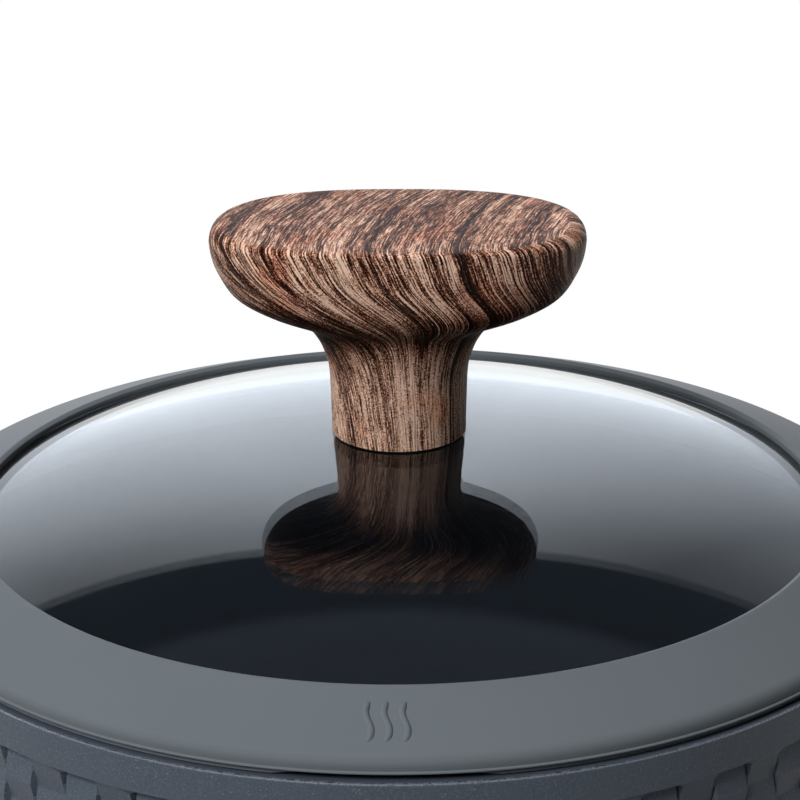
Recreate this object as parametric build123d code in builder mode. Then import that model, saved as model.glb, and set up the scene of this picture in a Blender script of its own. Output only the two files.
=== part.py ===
"""Electric hot pot: a fluted aluminium pot with a silicone-rimmed glass lid on a separate power base.

Millimetres. The origin is on the table under the pot's centre, +Z up, the controls face -Y.
"""
import os
from math import cos, radians, sin, sqrt

from build123d import *

# ---------------------------------------------------------------- driving sizes
# Clearances
FIT = 0.05                  # between fixed pieces that nest in one another
RUN = 0.3                   # between pieces that lift or slide past each other
SHAFT_RUN = 0.06            # radial play of a turning shaft

# Power base
FOOT_R = 8.0
FOOT_H = 4.0
FOOT_SUNK = 1.0
FOOT_CHAMFER = 1.2
FOOT_COUNT = 4
FOOT_ANGLE = 45.0
FOOT_IN = 20.5              # foot's centre to the housing's lower edge
BASE_INSET = 4.0            # housing's lip inside the pot's wall
BASE_TAPER = 3.5            # the housing is this much smaller in radius at the table
BASE_H = 34.5
BASE_WALL = 2.5
DISH_DEPTH = 4.5            # drop from the housing's lip to its deck
DISH_RIM_W = 5.5
DISH_LEAN = 2.25            # dish wall's slope inwards
LIP_ROUND = 1.2
PLATE_PROUD = 2.0           # heating plate above the deck
COVER_T = 2.5
VENT_COUNT = 16
VENT_R = 42.0
VENT_LENGTH = 16.0
VENT_WIDTH = 3.0
POST_R = 4.2
POST_IN = 12.5              # post's centre to the housing's lower edge
POST_ANGLE = 20.0           # each side of the X axis
SCREW_R = 1.45
SCREW_HEAD_R = 3.0
SCREW_HEAD_H = 1.2
SCREW_LENGTH = 9.0

# Control pod, power switch and knob
POD_W = 72.0
POD_BOTTOM = 3.0            # above the housing's lower edge
POD_TOP = 6.5               # below the housing's lip
POD_PROUD = 2.0             # pod's flat face beyond the housing's lip
POD_ROUND = 5.0
FASCIA_SIDE = 4.0           # fascia's ends inside the pod's
FASCIA_MARGIN = 2.5         # above and below it
FASCIA_T = 1.6
FASCIA_ROUND = 4.0
FASCIA_CHAMFER = 0.5
SWITCH_W = 22.0
SWITCH_ROOM = 1.0           # above and below it in the pod
SWITCH_D = 14.0
SWITCH_ROUND = 1.2
SWITCH_TAG_PITCH = 11.0
BUSH_R = 4.0
NUT_ACROSS = 10.0
SHAFT_R = 3.0
SHAFT_DEPTH = 7.0           # into the switch's body
DIAL_R = 10.0
DIAL_T = 8.5
DIAL_WALL = 1.6
DIAL_GRIP_W = 4.0
DIAL_GRIP_H = 2.6
DIAL_GRIP_CORNER = 1.3
DIAL_GRIP_EDGE = 0.8
LENS_R = 2.0
LENS_X = 23.0
LENS_DOME = 0.6
LAMP_L = 5.0

# Power inlet
INLET_W = 33.0
INLET_ROOM = 0.5            # above and below it in the pod
INLET_DEPTH_IN = 12.0       # behind the pod's face
INLET_FLANGE = 2.2
INLET_FLANGE_T = 2.0
INLET_SIDE_WALL = 4.0
INLET_WALL = 2.5
INLET_SOCKET_DEPTH = 15.0
INLET_ROUND = 3.0
INLET_EDGE_ROUND = 1.2
PIN_R = 1.25
PIN_PITCH = 12.0
PIN_LENGTH = 12.0
REAR_POD_W = 46.0

# Heating
PLATE_INSET = 16.0          # plate's edge inside the pot's flat floor
PLATE_CHAMFER = 1.2
PLATE_T = 6.0
PLATE_GAP = 2.5             # heating plate to the deck's edge
PLATE_BOSS_R = 5.0
PLATE_BOSS_PITCH_R = 24.0
PLATE_BOSS_ANGLE = 90.0
ELEMENT_IN = 20.0           # element's centre line to the plate's edge
ELEMENT_TUBE_R = 3.3
ELEMENT_GAP = 60.0          # angle left open between its two ends
COLD_END_R = 2.4
COLD_END_L = 11.0
SHIELD_DROP = 8.0           # shield's floor below the plate
SHIELD_T = 0.8
SHIELD_FLOOR_IN = 5.0       # shield's flat floor inside the plate's edge
SHIELD_RIM_PROUD = 2.0      # shield's rim beyond the bosses
BOSS_R = 4.0
BOSS_L = 5.5
BOSS_ANGLE = 30.0
BOSS_COUNT = 3              # of the plate, and of the shield
SENSOR_HOLE_R = 13.0
SENSOR_T = 1.0
SENSOR_FLANGE = 1.6
SENSOR_CHAMFER = 0.5
SPRING_R = 6.0
SPRING_WIRE_R = 0.55
SPRING_TURNS = 3.5
HOLDER_WALL = 1.2
HOLDER_H = 3.0
FUSE_R = 2.2
FUSE_L = 11.0
FUSE_Y = 34.0
LEAD_R = 1.1
LEAD_BEND_R = 2.2
LEAD_STRAIGHT = 16.0        # behind each tag of the switch and the inlet
LEAD_IN = 4.0               # leads run this far inside the element

# Pot
POT_R = 100.0
POT_WALL = 3.2
POT_FLOOR = 3.5
POT_H = 87.7
POT_CORNER_R = 22.0
RIM_PROUD = 0.9
RIM_BAND_H = 6.9
RIM_ROUND = 0.5
FLUTE_COUNT = 84
FLUTE_DEPTH = 0.55

# Pot handles
EAR_REACH = 31.0            # from the pot's wall to the ear's tip
EAR_HALF_W = 38.0
EAR_T = 13.0
EAR_BELOW_RIM = 13.5        # rim top to the ear's top face
EAR_ROUND = 4.5
BRACKET_T = 1.8
BRACKET_H = 15.0
BRACKET_ARC = 22.0
TONGUE_L = 15.0
TONGUE_W = 18.0
TONGUE_T = 2.5
EAR_SCREW_OUT = 9.0         # screw's axis beyond the bracket
EAR_SCREW_LENGTH = 11.5
EAR_SCREW_R = 2.0
EAR_SCREW_HEAD_R = 3.6
EAR_SCREW_HEAD_H = 2.0

# Lid, measured from the underside of its ring's outer edge
RING_IN = 0.9               # ring's edge inside the pot's rim band
RING_EDGE_H = 1.3
RING_LEDGE_H = 0.85         # thin ledge round the foot of the ring's edge
RING_LEDGE_W = 0.25
RING_ROUND = 1.8
RING_FACE_W = 16.4          # sloping face, in plan
RING_CREST_H = 8.7
RING_CREST_ROUND = 0.6
RING_LIP_PROUD = 1.5        # ring's crest above the glass
RING_LIP_IN = 1.0
RING_LIP_FALL = 0.5
RING_SKIRT_IN = 0.6
RING_SKIRT_H = 0.9
RING_UNDER_LIP = 3.0
PLUG_GAP = 1.2
PLUG_T = 4.0
PLUG_DEPTH = 8.0
PLUG_TAPER = 1.2
PLUG_TAPER_H = 2.4
VENT_OUTLET_W = 24.0
VENT_OUTLET_FLARE = 1.6
GLASS_CROWN_H = 23.0
GLASS_T = 4.0
GLASS_GRIP = 3.4            # glass edge inside the ring
GLASS_HOLE_R = 4.0

# Lid knob
KNOB_H = 41.6
KNOB_NECK_H = 21.5
KNOB_NECK_R = 13.0
KNOB_FLARE = 3.8            # neck's growth in radius up to the head
KNOB_RIM_ROUND = 1.5
KNOB_LENGTH = 71.9
KNOB_DEPTH = 42.2
KNOB_SEAM = 0.4
KNOB_SEAT_R = 12.4
INSERT_R = 4.0
INSERT_L = 12.0
LID_SCREW_R = 2.5
LID_SCREW_HEAD_R = 4.6
LID_SCREW_HEAD_H = 2.6
LID_SCREW_HEAD_ROUND = 1.3
LID_SCREW_SHORT = 3.0       # its end below the insert's top
LID_WASHER_R = 8.0
LID_WASHER_T = 1.2
SOFT_WASHER_T = 1.5

# ---------------------------------------------------------------- worked-out levels and radii
base_z = FOOT_H
lip_z = base_z + BASE_H
deck_z = lip_z - DISH_DEPTH
deck_under_z = deck_z - BASE_WALL
plate_z = deck_z + PLATE_PROUD
plate_under_z = plate_z - PLATE_T
shield_z = plate_under_z - SHIELD_DROP
shield_under_z = shield_z - SHIELD_T
boss_end_z = deck_under_z - BOSS_L
cover_top_z = base_z + COVER_T
pod_h = BASE_H - POD_BOTTOM - POD_TOP
pod_z = base_z + POD_BOTTOM + pod_h / 2
pod_room_h = pod_h - 2 * BASE_WALL
inlet_h = pod_room_h - 2 * INLET_ROOM
pot_z = plate_z + RUN
rim_z = pot_z + POT_H
lid_z = rim_z + RUN + RING_SKIRT_H

base_top_r = POT_R - BASE_INSET
dish_r = base_top_r - DISH_RIM_W
plate_r = POT_R - POT_CORNER_R - PLATE_INSET
element_r = plate_r - ELEMENT_IN
deck_hole_r = plate_r + PLATE_GAP
pot_bore_r = POT_R - POT_WALL
ring_r = POT_R + RIM_PROUD - RING_IN
ring_crest_r = ring_r - RING_FACE_W
pod_reach = base_top_r + POD_PROUD
boss_pitch_r = deck_hole_r + BOSS_R + FIT
shield_hole_r = deck_hole_r - FIT


def base_wall_r(z):
    """Outer radius of the base housing at a height."""
    return base_top_r - BASE_TAPER * (lip_z - z) / BASE_H


def export(part, name):
    """Label one finished piece and write its STEP file."""
    part.label = name
    export_step(part, f"parts/{name}.step")


os.makedirs("parts", exist_ok=True)

# ---------------------------------------------------------------- base housing
pod_inner_y = pod_reach - BASE_WALL
cover_r = base_wall_r(cover_top_z) - BASE_WALL - RUN
post_pitch_r = base_wall_r(base_z) - POST_IN
post_x = post_pitch_r * cos(radians(POST_ANGLE))
post_y = post_pitch_r * sin(radians(POST_ANGLE))
post_points = [(post_x, post_y), (-post_x, post_y), (-post_x, -post_y), (post_x, -post_y)]
dish_foot_r = dish_r - DISH_LEAN

with BuildPart() as base_housing:
    # outer form: a tapered drum with a flat pod in front and a narrower one behind
    with BuildSketch(Plane.XZ) as drum_profile:
        with BuildLine():
            Polyline(
                (0, base_z),
                (base_wall_r(base_z), base_z),
                (base_top_r, lip_z),
                (dish_r, lip_z),
                (dish_foot_r, deck_z),
                (0, deck_z),
                close=True,
            )
        make_face()
    revolve(axis=Axis.Z)
    lip_edges = base_housing.edges().filter_by(GeomType.CIRCLE).group_by(Axis.Z)[-1]
    fillet(lip_edges, LIP_ROUND)
    with BuildSketch(Plane.XZ.offset(pod_reach)) as front_pod:
        with Locations((0, pod_z)):
            RectangleRounded(POD_W, pod_h, POD_ROUND)
    extrude(amount=-pod_reach + deck_hole_r)
    with BuildSketch(Plane.XZ.offset(-pod_reach)) as rear_pod:
        with Locations((0, pod_z)):
            RectangleRounded(REAR_POD_W, pod_h, POD_ROUND)
    extrude(amount=pod_reach - deck_hole_r)
    pod_rims = base_housing.faces().filter_by(Axis.Y).sort_by(Axis.Y)
    fillet(pod_rims[0].edges() + pod_rims[-1].edges(), LIP_ROUND)

    # inside: one wall all round, open below
    with BuildSketch(Plane.XZ) as hollow_profile:
        with BuildLine():
            Polyline(
                (0, base_z),
                (base_wall_r(base_z) - BASE_WALL, base_z),
                (base_wall_r(deck_under_z) - BASE_WALL, deck_under_z),
                (0, deck_under_z),
                close=True,
            )
        make_face()
    revolve(axis=Axis.Z, mode=Mode.SUBTRACT)
    with BuildSketch(Plane.XZ.offset(pod_inner_y)) as front_pod_hollow:
        with Locations((0, pod_z)):
            RectangleRounded(POD_W - 2 * BASE_WALL, pod_room_h, POD_ROUND - BASE_WALL)
    extrude(amount=-pod_inner_y + deck_hole_r, mode=Mode.SUBTRACT)
    with BuildSketch(Plane.XZ.offset(-pod_inner_y)) as rear_pod_hollow:
        with Locations((0, pod_z)):
            RectangleRounded(REAR_POD_W - 2 * BASE_WALL, pod_room_h, POD_ROUND - BASE_WALL)
    extrude(amount=pod_inner_y - deck_hole_r, mode=Mode.SUBTRACT)

    # the deck's round opening for the heating plate
    with BuildSketch(Plane.XY.offset(deck_under_z)) as deck_hole:
        Circle(deck_hole_r)
    extrude(amount=BASE_WALL, mode=Mode.SUBTRACT)

    # posts for the cover screws, and bosses for the heat shield
    with BuildSketch(Plane.XY.offset(cover_top_z)) as posts:
        with Locations(*post_points):
            Circle(POST_R)
            Circle(SCREW_R + FIT, mode=Mode.SUBTRACT)
    extrude(until=Until.NEXT)
    with BuildSketch(Plane.XY.offset(boss_end_z)) as bosses:
        with PolarLocations(boss_pitch_r, BOSS_COUNT, start_angle=BOSS_ANGLE):
            Circle(BOSS_R)
            Circle(SCREW_R + FIT, mode=Mode.SUBTRACT)
    extrude(amount=BOSS_L)

    # openings for the switch's bush, the indicator lens and the power inlet
    with BuildSketch(Plane.XZ.offset(pod_reach)) as bush_hole:
        with Locations((0, pod_z)):
            Circle(BUSH_R + FIT)
        with Locations((LENS_X, pod_z)):
            Circle(LENS_R + FIT)
    extrude(amount=-BASE_WALL, mode=Mode.SUBTRACT)
    with BuildSketch(Plane.XZ.offset(-pod_reach)) as inlet_hole:
        with Locations((0, pod_z)):
            RectangleRounded(INLET_W + 2 * FIT, inlet_h + 2 * FIT, INLET_ROUND)
    extrude(amount=BASE_WALL, mode=Mode.SUBTRACT)
export(base_housing.part, "base_housing")

# ---------------------------------------------------------------- base cover with vents
foot_pitch_r = base_wall_r(base_z) - FOOT_IN

with BuildPart() as base_cover:
    with BuildSketch(Plane.XY.offset(base_z)) as cover_disc:
        Circle(cover_r)
        with PolarLocations(VENT_R, VENT_COUNT):
            SlotOverall(VENT_LENGTH, VENT_WIDTH, mode=Mode.SUBTRACT)
    extrude(amount=COVER_T - FIT)
    with BuildSketch(Plane.XY.offset(base_z)) as foot_recesses:
        with PolarLocations(foot_pitch_r, FOOT_COUNT, start_angle=FOOT_ANGLE):
            Circle(FOOT_R + FIT)
    extrude(amount=FOOT_SUNK, mode=Mode.SUBTRACT)
    with Locations(Plane.XY.offset(base_z)):
        with Locations(*[Location((x, y, 0), (180, 0, 0)) for x, y in post_points]):
            CounterBoreHole(SCREW_R + RUN, SCREW_HEAD_R + RUN, SCREW_HEAD_H, COVER_T)
export(base_cover.part, "base_cover")

# ---------------------------------------------------------------- rubber feet
with BuildPart() as feet:
    with BuildSketch() as foot_pads:
        with PolarLocations(foot_pitch_r, FOOT_COUNT, start_angle=FOOT_ANGLE):
            Circle(FOOT_R)
    extrude(amount=base_z + FOOT_SUNK - FIT)
    chamfer(feet.edges().group_by(Axis.Z)[0], FOOT_CHAMFER)
export(feet.part, "rubber_feet")

# ---------------------------------------------------------------- cover screws, driven up into the posts
with BuildPart() as cover_screws:
    with BuildSketch(Plane.XY.offset(base_z + FIT)) as screw_heads:
        with Locations(*post_points):
            Circle(SCREW_HEAD_R)
    extrude(amount=SCREW_HEAD_H - 2 * FIT)
    with BuildSketch(Plane.XY.offset(base_z + FIT)) as screw_shanks:
        with Locations(*post_points):
            Circle(SCREW_R)
    extrude(amount=SCREW_LENGTH)
export(cover_screws.part, "cover_screws")

# ---------------------------------------------------------------- heating plate
plate_boss_places = PolarLocations(PLATE_BOSS_PITCH_R, BOSS_COUNT, start_angle=PLATE_BOSS_ANGLE)
plate_boss_points = [(p.position.X, p.position.Y) for p in plate_boss_places.locations]
element_start = -90 + ELEMENT_GAP / 2
element_arc = 360 - ELEMENT_GAP
element_z = plate_under_z
cold_end_points = [
    (element_r * cos(radians(a)), element_r * sin(radians(a)))
    for a in (element_start, element_start + element_arc)
]

with BuildPart() as heating_plate:
    with BuildSketch(Plane.XY.offset(plate_under_z)) as plate_disc:
        Circle(plate_r)
    extrude(amount=PLATE_T)
    chamfer(heating_plate.edges().group_by(Axis.Z)[-1], PLATE_CHAMFER)
    with BuildSketch(Plane.XY.offset(plate_under_z)) as plate_bosses:
        with Locations(*plate_boss_points):
            Circle(PLATE_BOSS_R)
    extrude(amount=-SHIELD_DROP)
    with BuildSketch(Plane.XY.offset(shield_z)) as plate_boss_bores:
        with Locations(*plate_boss_points):
            Circle(SCREW_R + FIT)
    extrude(amount=SCREW_LENGTH, mode=Mode.SUBTRACT)
    with BuildSketch(Plane.XY.offset(plate_under_z)) as sensor_hole:
        Circle(SENSOR_HOLE_R)
    extrude(amount=PLATE_T, mode=Mode.SUBTRACT)
    # half-round groove that the tubular element is brazed into
    with BuildSketch(Plane.XZ) as element_groove:
        with Locations((element_r, element_z)):
            Circle(ELEMENT_TUBE_R + FIT)
    revolve(axis=Axis.Z, mode=Mode.SUBTRACT)
export(heating_plate.part, "heating_plate")

# ---------------------------------------------------------------- tubular heating element
with BuildPart() as heating_element:
    start_plane = Plane.XZ.rotated((0, 0, element_start))
    with BuildSketch(start_plane) as tube_section:
        with Locations((element_r, element_z)):
            Circle(ELEMENT_TUBE_R)
    revolve(axis=Axis.Z, revolution_arc=element_arc)
    with BuildSketch(Plane.XY.offset(element_z)) as cold_ends:
        with Locations(*cold_end_points):
            Circle(COLD_END_R)
    extrude(amount=-COLD_END_L)
export(heating_element.part, "heating_element")

# ---------------------------------------------------------------- heat shield, a pressed steel dish
shield_floor_r = plate_r - SHIELD_FLOOR_IN
shield_rim_r = boss_pitch_r + BOSS_R + SHIELD_RIM_PROUD

with BuildPart() as heat_shield:
    with BuildSketch(Plane.XZ) as shield_profile:
        with BuildLine():
            Polyline(
                (0, shield_under_z),
                (shield_floor_r, shield_under_z),
                (shield_hole_r, boss_end_z - SHIELD_T),
                (shield_rim_r, boss_end_z - SHIELD_T),
                (shield_rim_r, boss_end_z),
                (shield_hole_r - SHIELD_T / 2, boss_end_z),
                (shield_floor_r - SHIELD_T / 2, shield_z),
                (0, shield_z),
                close=True,
            )
        make_face()
    revolve(axis=Axis.Z)
    with BuildSketch(Plane.XY.offset(shield_under_z)) as shield_holes:
        with Locations(*plate_boss_points):
            Circle(SCREW_R + RUN)
        with Locations(*cold_end_points):
            Circle(COLD_END_R + RUN)
        with PolarLocations(boss_pitch_r, BOSS_COUNT, start_angle=BOSS_ANGLE):
            Circle(SCREW_R + RUN)
    extrude(amount=plate_z - shield_under_z, mode=Mode.SUBTRACT)
export(heat_shield.part, "heat_shield")

# ---------------------------------------------------------------- screws of the plate and of the shield
with BuildPart() as plate_screws:
    with BuildSketch(Plane.XY.offset(shield_under_z)) as plate_screw_heads:
        with Locations(*plate_boss_points):
            Circle(SCREW_HEAD_R)
    extrude(amount=-SCREW_HEAD_H)
    with BuildSketch(Plane.XY.offset(shield_under_z)) as plate_screw_shanks:
        with Locations(*plate_boss_points):
            Circle(SCREW_R)
    extrude(amount=SCREW_LENGTH)
    with BuildSketch(Plane.XY.offset(boss_end_z - SHIELD_T)) as shield_screw_heads:
        with PolarLocations(boss_pitch_r, BOSS_COUNT, start_angle=BOSS_ANGLE):
            Circle(SCREW_HEAD_R)
    extrude(amount=-SCREW_HEAD_H)
    with BuildSketch(Plane.XY.offset(boss_end_z - SHIELD_T)) as shield_screw_shanks:
        with PolarLocations(boss_pitch_r, BOSS_COUNT, start_angle=BOSS_ANGLE):
            Circle(SCREW_R)
    extrude(amount=SHIELD_T + BOSS_L - RUN)
export(plate_screws.part, "plate_screws")

# ---------------------------------------------------------------- spring-loaded temperature sensor
sensor_r = SENSOR_HOLE_R - RUN
sensor_flange_z = plate_under_z - RUN
spring_seat_z = shield_z + HOLDER_WALL

with BuildPart() as sensor_cap:
    with BuildSketch(Plane.XZ) as cap_profile:
        with BuildLine():
            Polyline(
                (0, plate_z),
                (sensor_r, plate_z),
                (sensor_r, sensor_flange_z),
                (sensor_r + SENSOR_FLANGE, sensor_flange_z),
                (sensor_r + SENSOR_FLANGE, sensor_flange_z - SENSOR_T),
                (sensor_r - SENSOR_T, sensor_flange_z - SENSOR_T),
                (sensor_r - SENSOR_T, plate_z - SENSOR_T),
                (0, plate_z - SENSOR_T),
                close=True,
            )
        make_face()
    revolve(axis=Axis.Z)
    chamfer(sensor_cap.edges().group_by(Axis.Z)[-1], SENSOR_CHAMFER)
export(sensor_cap.part, "sensor_cap")

with BuildPart() as spring_holder:
    with BuildSketch(Plane.XY.offset(shield_z)) as holder_floor:
        Circle(SPRING_R + HOLDER_WALL + RUN + SPRING_WIRE_R)
    extrude(amount=HOLDER_WALL)
    with BuildSketch(Plane.XY.offset(spring_seat_z)) as holder_wall:
        Circle(SPRING_R + HOLDER_WALL + RUN + SPRING_WIRE_R)
        Circle(SPRING_R + RUN + SPRING_WIRE_R, mode=Mode.SUBTRACT)
    extrude(amount=HOLDER_H)
export(spring_holder.part, "spring_holder")

spring_low_z = spring_seat_z + SPRING_WIRE_R + FIT
spring_high_z = plate_z - SENSOR_T - SPRING_WIRE_R - FIT
spring_rise = spring_high_z - spring_low_z
with BuildPart() as sensor_spring:
    with BuildLine() as coil:
        Helix(spring_rise / SPRING_TURNS, spring_rise, SPRING_R, center=(0, 0, spring_low_z))
    with BuildSketch(Plane(origin=coil.line @ 0, z_dir=coil.line % 0)) as wire_section:
        Circle(SPRING_WIRE_R)
    sweep(path=coil.line, is_frenet=True)
export(sensor_spring.part, "sensor_spring")

# ---------------------------------------------------------------- thermal fuse, strapped under the shield
with BuildPart() as thermal_fuse:
    with BuildSketch(Plane.YZ) as fuse_section:
        with Locations((FUSE_Y, shield_under_z - FUSE_R - FIT)):
            Circle(FUSE_R)
    extrude(amount=FUSE_L, both=True)
export(thermal_fuse.part, "thermal_fuse")

# ---------------------------------------------------------------- rotary power switch and its nut
with BuildPart() as rotary_switch:
    with BuildSketch(Plane.XZ.offset(pod_inner_y - FIT)) as switch_body:
        with Locations((0, pod_z)):
            RectangleRounded(SWITCH_W, pod_room_h - 2 * SWITCH_ROOM, SWITCH_ROUND)
    extrude(amount=-SWITCH_D)
    with BuildSketch(Plane.XZ.offset(pod_inner_y - FIT)) as switch_bush:
        with Locations((0, pod_z)):
            Circle(BUSH_R)
    extrude(amount=BASE_WALL + FASCIA_T + FIT)
    with BuildSketch(Plane.XZ.offset(pod_reach + FASCIA_T)) as bush_bore:
        with Locations((0, pod_z)):
            Circle(SHAFT_R + SHAFT_RUN)
    extrude(amount=-BASE_WALL - FASCIA_T - SHAFT_DEPTH, mode=Mode.SUBTRACT)
export(rotary_switch.part, "rotary_switch")

with BuildPart() as switch_nut:
    with BuildSketch(Plane.XZ.offset(pod_reach + FIT)) as nut_section:
        with Locations((0, pod_z)):
            RegularPolygon(NUT_ACROSS / 2, 6, major_radius=False)
            Circle(BUSH_R + FIT, mode=Mode.SUBTRACT)
    extrude(amount=FASCIA_T - 2 * FIT)
export(switch_nut.part, "switch_nut")

# ---------------------------------------------------------------- fascia, lens and lamp
nut_corner_r = NUT_ACROSS / 2 / cos(radians(30))
with BuildPart() as control_fascia:
    with BuildSketch(Plane.XZ.offset(pod_reach + FIT)) as fascia_plate:
        with Locations((0, pod_z)):
            RectangleRounded(POD_W - 2 * FASCIA_SIDE, pod_h - 2 * FASCIA_MARGIN, FASCIA_ROUND)
            Circle(nut_corner_r + RUN, mode=Mode.SUBTRACT)
        with Locations((LENS_X, pod_z)):
            Circle(LENS_R + FIT, mode=Mode.SUBTRACT)
    extrude(amount=FASCIA_T)
    chamfer(control_fascia.faces().sort_by(Axis.Y)[0].outer_wire().edges(), FASCIA_CHAMFER)
export(control_fascia.part, "control_fascia")

with BuildPart() as indicator_lens:
    with BuildSketch(Plane.XZ.offset(pod_inner_y)) as lens_section:
        with Locations((LENS_X, pod_z)):
            Circle(LENS_R)
    extrude(amount=BASE_WALL + FASCIA_T + LENS_DOME)
    fillet(indicator_lens.faces().sort_by(Axis.Y)[0].edges(), LENS_DOME)
export(indicator_lens.part, "indicator_lens")

with BuildPart() as indicator_lamp:
    with BuildSketch(Plane.XZ.offset(pod_inner_y - FIT)) as lamp_section:
        with Locations((LENS_X, pod_z)):
            Circle(LENS_R + FIT)
    extrude(amount=-LAMP_L)
export(indicator_lamp.part, "indicator_lamp")

# ---------------------------------------------------------------- control knob and its shaft
dial_back = pod_reach + FASCIA_T + RUN
dial_front = dial_back + DIAL_T
shaft_tip = dial_front - DIAL_GRIP_H - DIAL_WALL
shaft_length = shaft_tip - (pod_inner_y - SHAFT_DEPTH + RUN)
with BuildPart() as switch_shaft:
    with BuildSketch(Plane.XZ.offset(shaft_tip)) as shaft_section:
        with Locations((0, pod_z)):
            Circle(SHAFT_R)
    extrude(amount=-shaft_length)
export(switch_shaft.part, "switch_shaft")

with BuildPart() as control_knob:
    with BuildSketch(Plane.XZ.offset(dial_back)) as dial_disc:
        with Locations((0, pod_z)):
            Circle(DIAL_R)
    extrude(amount=DIAL_T - DIAL_GRIP_H)
    with BuildSketch(Plane.XZ.offset(dial_front - DIAL_GRIP_H)) as dial_grip:
        with Locations((0, pod_z)):
            RectangleRounded(DIAL_GRIP_W, 2 * (DIAL_R - DIAL_WALL), DIAL_GRIP_CORNER)
    extrude(amount=DIAL_GRIP_H)
    fillet(control_knob.faces().sort_by(Axis.Y)[0].edges(), DIAL_GRIP_EDGE)
    # hollow behind, with a socket for the shaft
    with BuildSketch(Plane.XZ.offset(dial_back)) as dial_hollow:
        with Locations((0, pod_z)):
            Circle(DIAL_R - DIAL_WALL)
            Circle(SHAFT_R + DIAL_WALL, mode=Mode.SUBTRACT)
    extrude(amount=DIAL_T - DIAL_GRIP_H - DIAL_WALL, mode=Mode.SUBTRACT)
    with BuildSketch(Plane.XZ.offset(dial_back)) as dial_socket:
        with Locations((0, pod_z)):
            Circle(SHAFT_R + FIT)
    extrude(amount=DIAL_T - DIAL_GRIP_H - DIAL_WALL, mode=Mode.SUBTRACT)
    # room for the nut and the bush inside the knob
    with BuildSketch(Plane.XZ.offset(dial_back)) as nut_room:
        with Locations((0, pod_z)):
            Circle(nut_corner_r + RUN)
    extrude(amount=RUN, mode=Mode.SUBTRACT)
export(control_knob.part, "control_knob")

# ---------------------------------------------------------------- power inlet with its pins
inlet_face = dial_front
with BuildPart() as inlet_housing:
    with BuildSketch(Plane.XZ.offset(-pod_reach - FIT)) as inlet_flange:
        with Locations((0, pod_z)):
            RectangleRounded(INLET_W + 2 * INLET_FLANGE, inlet_h + INLET_FLANGE, INLET_ROUND)
    extrude(amount=-INLET_FLANGE_T)
    with BuildSketch(Plane.XZ.offset(-pod_reach + INLET_DEPTH_IN)) as inlet_body:
        with Locations((0, pod_z)):
            RectangleRounded(INLET_W, inlet_h, INLET_ROUND)
    extrude(amount=-(inlet_face - pod_reach + INLET_DEPTH_IN))
    fillet(inlet_housing.faces().sort_by(Axis.Y)[-1].edges(), INLET_EDGE_ROUND)
    with BuildSketch(Plane.XZ.offset(-inlet_face)) as inlet_socket:
        with Locations((0, pod_z)):
            RectangleRounded(INLET_W - 2 * INLET_SIDE_WALL, inlet_h - 2 * INLET_WALL, INLET_ROUND)
    extrude(amount=INLET_SOCKET_DEPTH, mode=Mode.SUBTRACT)
    with BuildSketch(Plane.XZ.offset(-pod_reach + INLET_DEPTH_IN)) as pin_holes:
        with Locations((-PIN_PITCH / 2, pod_z), (PIN_PITCH / 2, pod_z)):
            Circle(PIN_R + FIT)
    extrude(amount=-(inlet_face - pod_reach + INLET_DEPTH_IN), mode=Mode.SUBTRACT)
export(inlet_housing.part, "inlet_housing")

inlet_inner_y = pod_reach - INLET_DEPTH_IN
pin_tail_y = inlet_inner_y - LEAD_R
with BuildPart() as inlet_pins:
    with BuildSketch(Plane.XZ.offset(-pin_tail_y)) as pin_sections:
        with Locations((-PIN_PITCH / 2, pod_z), (PIN_PITCH / 2, pod_z)):
            Circle(PIN_R)
    extrude(amount=-(inlet_face - INLET_SOCKET_DEPTH + PIN_LENGTH - pin_tail_y))
export(inlet_pins.part, "inlet_pins")

# ---------------------------------------------------------------- insulated leads under the shield
switch_tail_y = -(pod_inner_y - FIT - SWITCH_D) + FIT
cold_end_z = element_z - COLD_END_L - FIT
lead_z = (cover_top_z + cold_end_z) / 2
lead_side_x = element_r - LEAD_IN
switch_tag_x = SWITCH_TAG_PITCH / 2
lead_routes = {
    "neutral": [
        (PIN_PITCH / 2, pin_tail_y - FIT, pod_z),
        (PIN_PITCH / 2, pin_tail_y - LEAD_STRAIGHT, pod_z),
        (lead_side_x, element_r, lead_z),
        (lead_side_x, 0, lead_z),
        (cold_end_points[0][0], cold_end_points[0][1], lead_z),
        (cold_end_points[0][0], cold_end_points[0][1], cold_end_z),
    ],
    "live": [
        (-PIN_PITCH / 2, pin_tail_y - FIT, pod_z),
        (-PIN_PITCH / 2, pin_tail_y - LEAD_STRAIGHT, pod_z),
        (-lead_side_x, element_r, lead_z),
        (-lead_side_x, -element_r, lead_z),
        (-switch_tag_x, switch_tail_y + LEAD_STRAIGHT, pod_z),
        (-switch_tag_x, switch_tail_y, pod_z),
    ],
    "switched": [
        (switch_tag_x, switch_tail_y, pod_z),
        (switch_tag_x, switch_tail_y + LEAD_STRAIGHT, pod_z),
        (cold_end_points[1][0], cold_end_points[1][1], lead_z),
        (cold_end_points[1][0], cold_end_points[1][1], cold_end_z),
    ],
}
for lead_name, route in lead_routes.items():
    with BuildPart() as lead:
        with BuildLine() as lead_path:
            FilletPolyline(*route, radius=LEAD_BEND_R)
        with BuildSketch(Plane(origin=lead_path.line @ 0, z_dir=lead_path.line % 0)) as lead_section:
            Circle(LEAD_R)
        sweep(path=lead_path.line)
    export(lead.part, f"lead_{lead_name}")

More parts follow.
